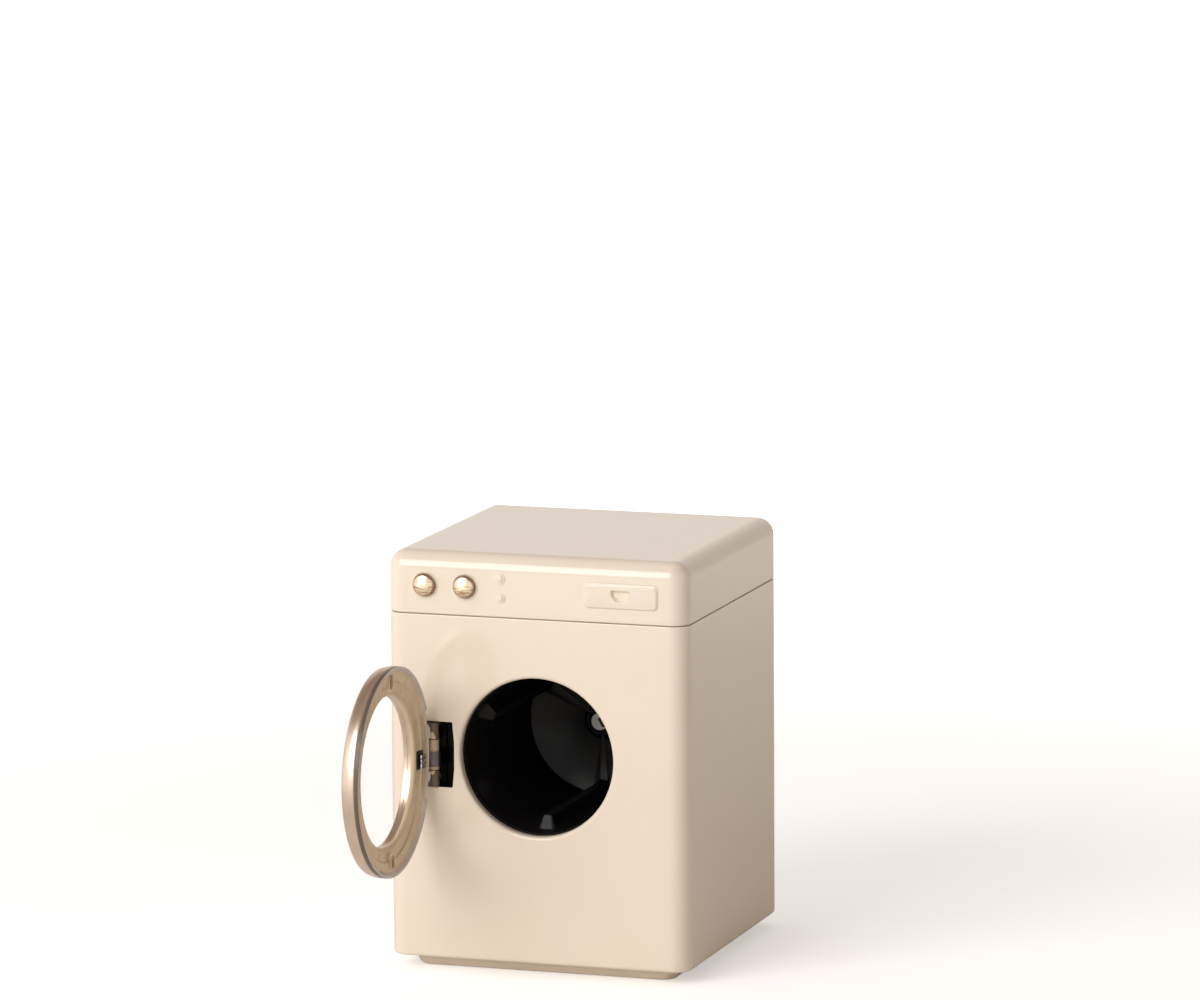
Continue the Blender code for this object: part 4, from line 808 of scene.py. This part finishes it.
# Painted shade: the insides of the two snap bosses are darkened.
boss_across = across.rising(-1.3 * MM, -1.1 * MM) - across.rising(1.1 * MM, 1.3 * MM)
boss_up = (upwards * upwards).rising((25.3 * MM) ** 2, (25.6 * MM) ** 2)
boss_up = boss_up * (1.0 - (upwards * upwards).rising((28.4 * MM) ** 2, (28.9 * MM) ** 2))
body = sheet.tint(haze, rgb(247, 224, 192), rgb(240, 215, 182))
body = sheet.tint(knuckles, body, rgb(214, 190, 158))
body = sheet.tint(boss_across * boss_up * 0.75, body, (0.16, 0.11, 0.07, 1.0))
rim_highlight_and_wall_shade = sheet.tint(rim * 0.8, body, (0.74, 0.67, 0.70, 1.0))
rim_highlight_and_wall_shade = sheet.tint(side_wall_shade, rim_highlight_and_wall_shade, (0.14, 0.105, 0.075, 1.0))
sheet.finish(
    Base_Color=sheet.tint(slot_shade, rim_highlight_and_wall_shade, (0.05, 0.035, 0.03, 1.0)),
    Roughness=0.24 + haze * 0.08,
    Alpha=0.86 - y.rising(-52.0 * MM, -50.8 * MM) * 0.20 + knuckles * 0.32 + slot_shade * 0.1,
    Normal=sheet.relief(sheet.noise(spot, 300.0, 1.0, 0.5), 0.000004),
)


def prism(skin, outline, low, high, lift):
    """A closed block: an outline of flat points carried from low to high, with both ends filled."""
    outline = np.asarray(outline, dtype=float)
    skin.grid(np.stack([lift(outline, low), lift(outline, high)]), closed_across=True)
    skin.fill([outline], lambda flat: lift(flat, low))
    skin.fill([outline], lambda flat: lift(flat, high))


bezel = Skin()
bezel_profile = [(BEZEL_R, 2.5), (29.64, 2.45), (29.72, 1.5), (29.86, 1.37), (30.85, 1.35)]
bezel_profile += [(30.95, 1.29), (DOOR_R, 1.19), (DOOR_R, 0.2), (30.95, 0.06), (30.82, 0.0)]
bezel_profile += [(30.5, 0.0), (30.25, 0.06)]
bezel_profile += [(30.0, 0.24), (29.75, 0.5), (29.45, 0.78), (BEZEL_R, 0.98), (28.8, 1.12), (28.0, 1.2)]
bezel_profile += [(26.75, 1.3), (26.6, 1.36), (26.5, 1.5), (26.4, 1.72), (26.25, 1.84), (26.0, 1.88)]
bezel_profile += [(25.2, 1.92), (23.9, 2.0)]
bezel_profile += curve((23.6, 3.4), 1.4, 270, 184, 12).tolist()
bezel_profile += [(22.22, 3.26), (26.3, 3.26), (26.3, 2.9), (26.5, 2.5)]


def rim_notch(radius, depth, turn):
    """Across the notch the rim draws in to a bead at a radius of 29.9 mm and a depth of 0.32 mm."""
    outer = step(turn, notch_ends[0], 0.02) * (1 - step(turn, notch_ends[3], 0.02))
    drawn = np.where(radius > 29.85, radius - (radius - 29.85) * 0.96 * outer, radius)
    sunk = np.where(radius > 29.65, depth + (0.32 - 0.6 * depth) * outer, depth)
    return drawn, np.where(depth > 1.45, depth, sunk)


bezel.grid(round_door(bezel_profile, door_turns, rim_notch), closed_across=True, closed_along=True)
outer_arc = curve((0.0, 25.9), BOSS_OUTER_R, 180, 360, 16)
inner_arc = curve((0.0, 25.9), BOSS_INNER_R, 360, 180, 16)
right_ends = [(BOSS_OUTER_R, BOSS_END), (BOSS_INNER_R, BOSS_END)]
left_ends = [(-BOSS_INNER_R, BOSS_END), (-BOSS_OUTER_R, BOSS_END)]
boss = np.concatenate([left_ends[1:], outer_arc, right_ends, inner_arc, left_ends[:1]])
for side in (1, -1):
    prism(
        bezel,
        boss,
        2.4,
        0.9,
        lambda flat, depth: on_door(
            DOOR_MIDDLE + flat[:, 0], np.full(len(flat), depth), DOOR_HEIGHT + side * flat[:, 1]
        ),
    )
farthest = HINGE_DROP + HINGE_HALF
root = DOOR_MIDDLE - math.sqrt(BEZEL_R * BEZEL_R - farthest * farthest) + 0.3
arm_outline = [(0.0, 0.0), (1.8, 0.0), (2.2, 0.75), (5.2, 1.45), (5.4, 2.2)]
arm_outline += [(root, 2.2), (root, 1.0), (0.0, 1.0)]
for low, high in ((MIDDLE_HALF, HINGE_HALF), (-HINGE_HALF, -MIDDLE_HALF)):
    prism(
        bezel,
        arm_outline,
        HINGE_Z / MM + low + ARM_GAP,
        HINGE_Z / MM + high - ARM_GAP,
        lambda flat, z: on_door(flat[:, 0], flat[:, 1], np.full(len(flat), z)),
    )
    knuckle = [(PIN_BORE_R, low), (KNUCKLE_R, low), (KNUCKLE_R, high), (PIN_BORE_R, high)]
    knuckle.append(knuckle[0])
    place = (HINGE_X, HINGE_Y, HINGE_Z)
    bezel.grid(turned(np.array(knuckle) * MM, place, "up", 64), closed_across=True)
bezel.piece("door_inner_ring", "door", ["door_bezel"], smoke, bevel=0.12 * MM)


# Door window
# A flat disc of clear plastic, held between the band and the bezel. The border that they grip is a
# ring of its own and shows the band's gold.
CLEAR_R = 22.2
BORDER_R = 22.23

clear = bpy.data.materials.new("clear pane")
sheet = Sheet(clear)
spot, _ = sheet.place()
glint = sheet.node("ShaderNodeLayerWeight", {}, {"Blend": 0.3}, out=1)
sheet.finish(
    Base_Color=(0.90, 0.88, 0.86, 1.0),
    Roughness=0.04 + sheet.noise(spot, 200.0, 2.0, 0.5) * 0.03,
    Alpha=0.012 + glint * 0.02,
)
pane = Skin()
pane_turns = np.linspace(0, 2 * math.pi, 240, endpoint=False)
disc = [(0.0, 4.3), (12.0, 4.3), (CLEAR_R, 4.3), (CLEAR_R, 3.3), (12.0, 3.3), (0.0, 3.3)]
pane.grid(round_door(disc, pane_turns), closed_across=True)
border = [(BORDER_R, 4.3), (25.6, 4.3), (25.74, 4.24), (25.8, 4.1), (25.8, 3.5), (25.74, 3.36)]
border += [(25.6, 3.3), (BORDER_R, 3.3)]
pane.grid(round_door(border, pane_turns), closed_across=True, closed_along=True)
made = pane.piece("door_pane", "door", ["door_window"], clear)
made.data.materials.append(gold)
middle = np.array([polygon.center for polygon in made.data.polygons]) / MM
off_centre = np.hypot(middle[:, 1] - (HINGE_Y / MM - DOOR_MIDDLE), middle[:, 2] - DOOR_HEIGHT)
gripped = off_centre > (CLEAR_R + BORDER_R) / 2
made.data.polygons.foreach_set("material_index", gripped.astype(int).tolist())


# Hinge
# A black bracket in the pocket carries the middle knuckle, a steel pin runs through all three, and a
# bent steel strip presses on a small plate on the door to hold it open or shut.
for name in ("hinge_pin", "bracket_screw_lower", "bracket_screw_upper"):
    nodes[name].material_slots[0].material = steel

bright = bpy.data.materials.new("crinkled bright steel")
sheet = Sheet(bright)
spot, _ = sheet.place()
crumple = sheet.noise(spot, 1500.0, 3.0, 0.7)
sheet.finish(
    Base_Color=sheet.tint(crumple.rising(0.40, 0.60), (0.30, 0.27, 0.28, 1.0), (0.92, 0.88, 0.90, 1.0)),
    Metallic=1.0,
    Roughness=0.16 + crumple * 0.2,
    Normal=sheet.relief(crumple, 0.0004),
)
rest = Skin()
rest_outline = rounded(2.9, 6.9, 61.9, 66.1, 0.3, 4)
prism(
    rest,
    rest_outline,
    0.82,
    1.22,
    lambda flat, depth: on_door(flat[:, 0], np.full(len(flat), depth), flat[:, 1]),
)
rest.piece("spring_rest", "door", ["door_spring_plate"], bright)

blued = bpy.data.materials.new("blued spring steel")
sheet = Sheet(blued)
spot, (x, y, z) = sheet.place()
streaks = sheet.noise(spot, 800.0, 3.0, 0.6, (1.0, 1.0, 0.2))
# Painted shade: the strip turns near black where it runs back behind the front into the pocket.
sheet.finish(
    Base_Color=sheet.tint(
        y.rising(-45.6 * MM, -44.0 * MM),
        sheet.tint(streaks, (0.20, 0.18, 0.20, 1.0), (0.10, 0.08, 0.08, 1.0)),
        (0.018, 0.013, 0.012, 1.0),
    ),
    Metallic=1.0,
    Roughness=0.22 + streaks * 0.25,
    Normal=sheet.relief(streaks, 0.00002),
)
nodes["hinge_spring"].material_slots[0].material = blued

black = bpy.data.materials.new("black plastic")
sheet = Sheet(black)
spot, _ = sheet.place()
haze = sheet.noise(spot, 120.0, 3.0, 0.6)
# Faint pale specks scattered over the black.
pale_specks = sheet.noise(spot, 3000.0, 1.0, 0.5).rising(0.72, 0.78)
sheet.finish(
    Base_Color=sheet.tint(pale_specks * 0.5, (0.010, 0.009, 0.009, 1.0), (0.05, 0.045, 0.04, 1.0)),
    Roughness=0.14 + haze * 0.16,
    Specular_IOR_Level=0.16,
    Normal=sheet.relief(sheet.noise(spot, 400.0, 2.0, 0.5), 0.00002),
)
smoky_knuckle = bpy.data.materials.new("smoky knuckle")
sheet = Sheet(smoky_knuckle)
spot, (x, y, z) = sheet.place()
base = y.rising(-45.5 * MM, -45.1 * MM)
haze = sheet.noise(spot, 140.0, 3.0, 0.6)
body = sheet.tint(haze, rgb(204, 181, 151), rgb(190, 166, 136))
sheet.finish(
    Base_Color=sheet.tint(base, body, (0.006, 0.005, 0.005, 1.0)),
    Roughness=0.25 + haze * 0.10,
    Normal=sheet.relief(sheet.noise(spot, 600.0, 2.0, 0.5), 0.00001),
)
nodes["hinge_bracket"].material_slots[0].material = smoky_knuckle


# Drum and tub
# A fixed black housing behind the front, and in it the black drum with three lifters, which turns on
# a shoulder screw through its rear wall.
matt_black = bpy.data.materials.new("moulded black")
sheet = Sheet(matt_black)
spot, _ = sheet.place()
grain = sheet.noise(spot, 900.0, 2.0, 0.5)
sheet.finish(
    Base_Color=sheet.tint(grain, (0.008, 0.0075, 0.007, 1.0), (0.013, 0.012, 0.011, 1.0)),
    Roughness=0.55 + grain * 0.15,
    Specular_IOR_Level=0.25,
    Normal=sheet.relief(grain, 0.00002),
)
nodes["tub_housing"].material_slots[0].material = matt_black
for name in ("axle_screw", "axle_washer", "axle_nut"):
    nodes[name].material_slots[0].material = steel

# The drum's own sizes are plain numbers of millimetres too.
DRUM_R = 23.15
DRUM_OUTER_R = 24.15
DRUM_FRONT = -3.8
DRUM_BACK = -63.7
AXLE_BORE_R = 1.8
RIB_HEIGHT = 4.2

drum_turns = np.linspace(0, 2 * math.pi, 360, endpoint=False)


def lifters(radius, rise, turn):
    """Three smooth ribs along the drum, 4.2 mm high, that start 6 mm behind its front edge."""
    offset = (turn - math.radians(30) + math.pi / 3) % (2 * math.pi / 3) - math.pi / 3
    half = np.abs(offset) * DRUM_R
    rib = np.clip((3.3 - half) / 1.9, 0, 1)
    rib = rib * rib * (3 - 2 * rib)
    start = np.clip((DRUM_FRONT - rise - 6.0) / 1.6 + 0.5, 0, 1)
    inner = (radius < 23.2) & (rise < -4.0)
    return radius - RIB_HEIGHT * rib * (start * start * (3 - 2 * start)) * inner


drum_profile = [(AXLE_BORE_R, DRUM_BACK), (22.95, DRUM_BACK), (23.7, -63.3), (DRUM_OUTER_R, -62.7)]
drum_profile += [(DRUM_OUTER_R, -4.3), (24.0, -3.95), (23.65, DRUM_FRONT), (23.4, -3.85), (23.25, -4.1)]
drum_profile += [(DRUM_R, rise) for rise in (-4.5, -6.5, -8.0)]
drum_profile += [(DRUM_R, rise) for rise in np.linspace(-8.8, -10.8, 9)]
drum_profile += [(DRUM_R, rise) for rise in (-20.0, -35.0, -50.0, -61.6)]
drum_profile += [(22.9, -62.3), (22.2, -62.7), (6.0, -62.7), (5.2, -61.9), (4.6, -61.3)]
drum_profile += [(AXLE_BORE_R, -61.3), (AXLE_BORE_R, DRUM_BACK)]
profile = np.array(drum_profile)
radius = profile[:, None, 0] + np.zeros_like(drum_turns)[None, :]
rise = profile[:, None, 1] + np.zeros_like(drum_turns)[None, :]
radius = lifters(radius, rise, drum_turns[None, :])
places = np.stack([radius * np.cos(drum_turns), -rise, radius * np.sin(drum_turns)], axis=-1) * MM
drum = Skin()
drum.grid(places + np.array((0.0, FRONT_Y, OPENING_Z)), closed_across=True)
drum.piece("wash_drum", "drum", ["drum"], black)


# Studio
# A white backdrop and a pale floor, one large soft lamp high on the left, a weak one low in front,
# and a room that is lighter on the left and darker overhead, which only fills and mirrors.
FLOOR_SIZE = 12.0
AIM = (0.0, 0.0, 0.065)
KEY_PLACE = (-0.61, -1.26, 0.80)
KEY_SIZE = 0.98
KEY_POWER = 13.0
BOUNCE_PLACE = (-0.10, -0.50, 0.03)
BOUNCE_SIZE = 0.30
BOUNCE_POWER = 0.10
LIGHT_WALL = (1.0, 0.98, 0.96)
TINTED_WALL = (0.90, 0.84, 0.79)
UPPER_WALL = (0.86, 0.80, 0.74)
DARK_CEILING = (0.24, 0.19, 0.15)
ZENITH = (0.40, 0.34, 0.28)

world = bpy.data.worlds.new("studio")
scene.world = world
sheet = Sheet(world)
camera_ray = sheet.node("ShaderNodeLightPath")
ray_outputs = camera_ray.socket.node.outputs
glossy_ray = Link(sheet, ray_outputs["Is Glossy Ray"])
passing_ray = Link(sheet, ray_outputs["Is Transmission Ray"])
direction = sheet.node("ShaderNodeTexCoord", out=0)
split = sheet.node("ShaderNodeSeparateXYZ", {}, {0: direction})
height = Link(sheet, split.socket.node.outputs[2])
away = Link(sheet, split.socket.node.outputs[1]).rising(-0.1, 0.6)
to_right = Link(sheet, split.socket.node.outputs[0]).rising(-0.45, 0.60)
ahead = height.stops((0.0, LIGHT_WALL), (1.0, ZENITH), (0.44, LIGHT_WALL), (0.70, DARK_CEILING))
behind = height.stops((0.0, TINTED_WALL), (1.0, ZENITH), (0.36, UPPER_WALL), (0.62, DARK_CEILING))
ceiling = sheet.tint(away, ahead, behind)
room = sheet.tint(to_right, (0.58, 0.565, 0.545, 1.0), (0.31, 0.265, 0.225, 1.0))
direct = sheet.node("ShaderNodeMath", {"operation": "MAXIMUM"}, (camera_ray, passing_ray))
fill = sheet.node("ShaderNodeBackground", {}, {"Color": room, "Strength": 1.0})
mirrored = sheet.node("ShaderNodeBackground", {}, {"Color": ceiling, "Strength": 1.0})
backdrop = sheet.node("ShaderNodeBackground", {}, {"Color": (1.0, 1.0, 1.0, 1.0), "Strength": 1.0})
first_mix = sheet.node("ShaderNodeMixShader", {}, {0: glossy_ray, 1: fill, 2: mirrored})
second_mix = sheet.node("ShaderNodeMixShader", {}, {0: direct, 1: first_mix, 2: backdrop})
sheet.close(second_mix, "ShaderNodeOutputWorld")

half_floor = FLOOR_SIZE / 2
floor_corners = [(-half_floor, -half_floor), (half_floor, -half_floor), (half_floor, half_floor)]
floor_corners.append((-half_floor, half_floor))
floor_mesh = bpy.data.meshes.new("floor")
floor_mesh.from_pydata([(x, y, 0.0) for x, y in floor_corners], [], [(0, 1, 2, 3)])
floor = bpy.data.objects.new("floor", floor_mesh)
scene.collection.objects.link(floor)
floor_look = bpy.data.materials.new("pale floor")
sheet = Sheet(floor_look)
camera_ray = sheet.node("ShaderNodeLightPath")
glossy_ray = Link(sheet, camera_ray.socket.node.outputs["Is Glossy Ray"])
_, (x, y, z) = sheet.place()
far = (x * x + y * y).rising(0.02, 0.60)
matt = sheet.node("ShaderNodeBsdfDiffuse", {}, {"Color": (0.92, 0.90, 0.875, 1.0)})
strength = camera_ray * (0.42 + far * 0.1) + (camera_ray + glossy_ray * 0.6) * far * 0.8
lift = sheet.node("ShaderNodeEmission", {}, {"Color": (1.0, 1.0, 1.0, 1.0), "Strength": strength})
sheet.close(sheet.node("ShaderNodeAddShader", {}, (matt, lift)))
floor_mesh.materials.append(floor_look)


def lamp(name, place, size, power, colour):
    """A square area lamp that points at the middle of the machine."""
    data = bpy.data.lights.new(name, "AREA")
    data.shape = "SQUARE"
    data.size = size
    data.energy = power
    data.color = colour
    made = bpy.data.objects.new(name, data)
    made.location = place
    made.rotation_euler = (Vector(AIM) - Vector(place)).to_track_quat("-Z", "Y").to_euler()
    scene.collection.objects.link(made)
    return made


lamp("key", KEY_PLACE, KEY_SIZE, KEY_POWER, (1.0, 0.99, 0.975))
bounce = lamp("bounce", BOUNCE_PLACE, BOUNCE_SIZE, BOUNCE_POWER, (1.0, 0.98, 0.95))
bounce.visible_camera = False
bounce.visible_glossy = False


# Camera
# A long lens a little above the machine and to its right, level to within half a degree.
VIEW_TURN = math.radians(18.44)
VIEW_DROP = math.radians(9.27)
VIEW_ROLL = math.radians(-0.33)
CAMERA_PLACE = Vector((0.70577, -2.10152, 0.49739))

look = Vector(
    (
        -math.sin(VIEW_TURN) * math.cos(VIEW_DROP),
        math.cos(VIEW_TURN) * math.cos(VIEW_DROP),
        -math.sin(VIEW_DROP),
    )
)
level_right = Vector((math.cos(VIEW_TURN), math.sin(VIEW_TURN), 0.0))
level_up = level_right.cross(look)
right = math.cos(VIEW_ROLL) * level_right + math.sin(VIEW_ROLL) * level_up
up = math.cos(VIEW_ROLL) * level_up - math.sin(VIEW_ROLL) * level_right
camera_data = bpy.data.cameras.new("camera")
camera_data.lens = 226.0
camera_data.sensor_width = 36.0
camera_data.sensor_fit = "HORIZONTAL"
camera_data.clip_start = 0.05
camera_data.clip_end = 50.0
camera = bpy.data.objects.new("camera", camera_data)
camera.matrix_world = Matrix(
    (
        (right.x, up.x, -look.x, CAMERA_PLACE.x),
        (right.y, up.y, -look.y, CAMERA_PLACE.y),
        (right.z, up.z, -look.z, CAMERA_PLACE.z),
        (0.0, 0.0, 0.0, 1.0),
    )
)
scene.collection.objects.link(camera)
scene.camera = camera
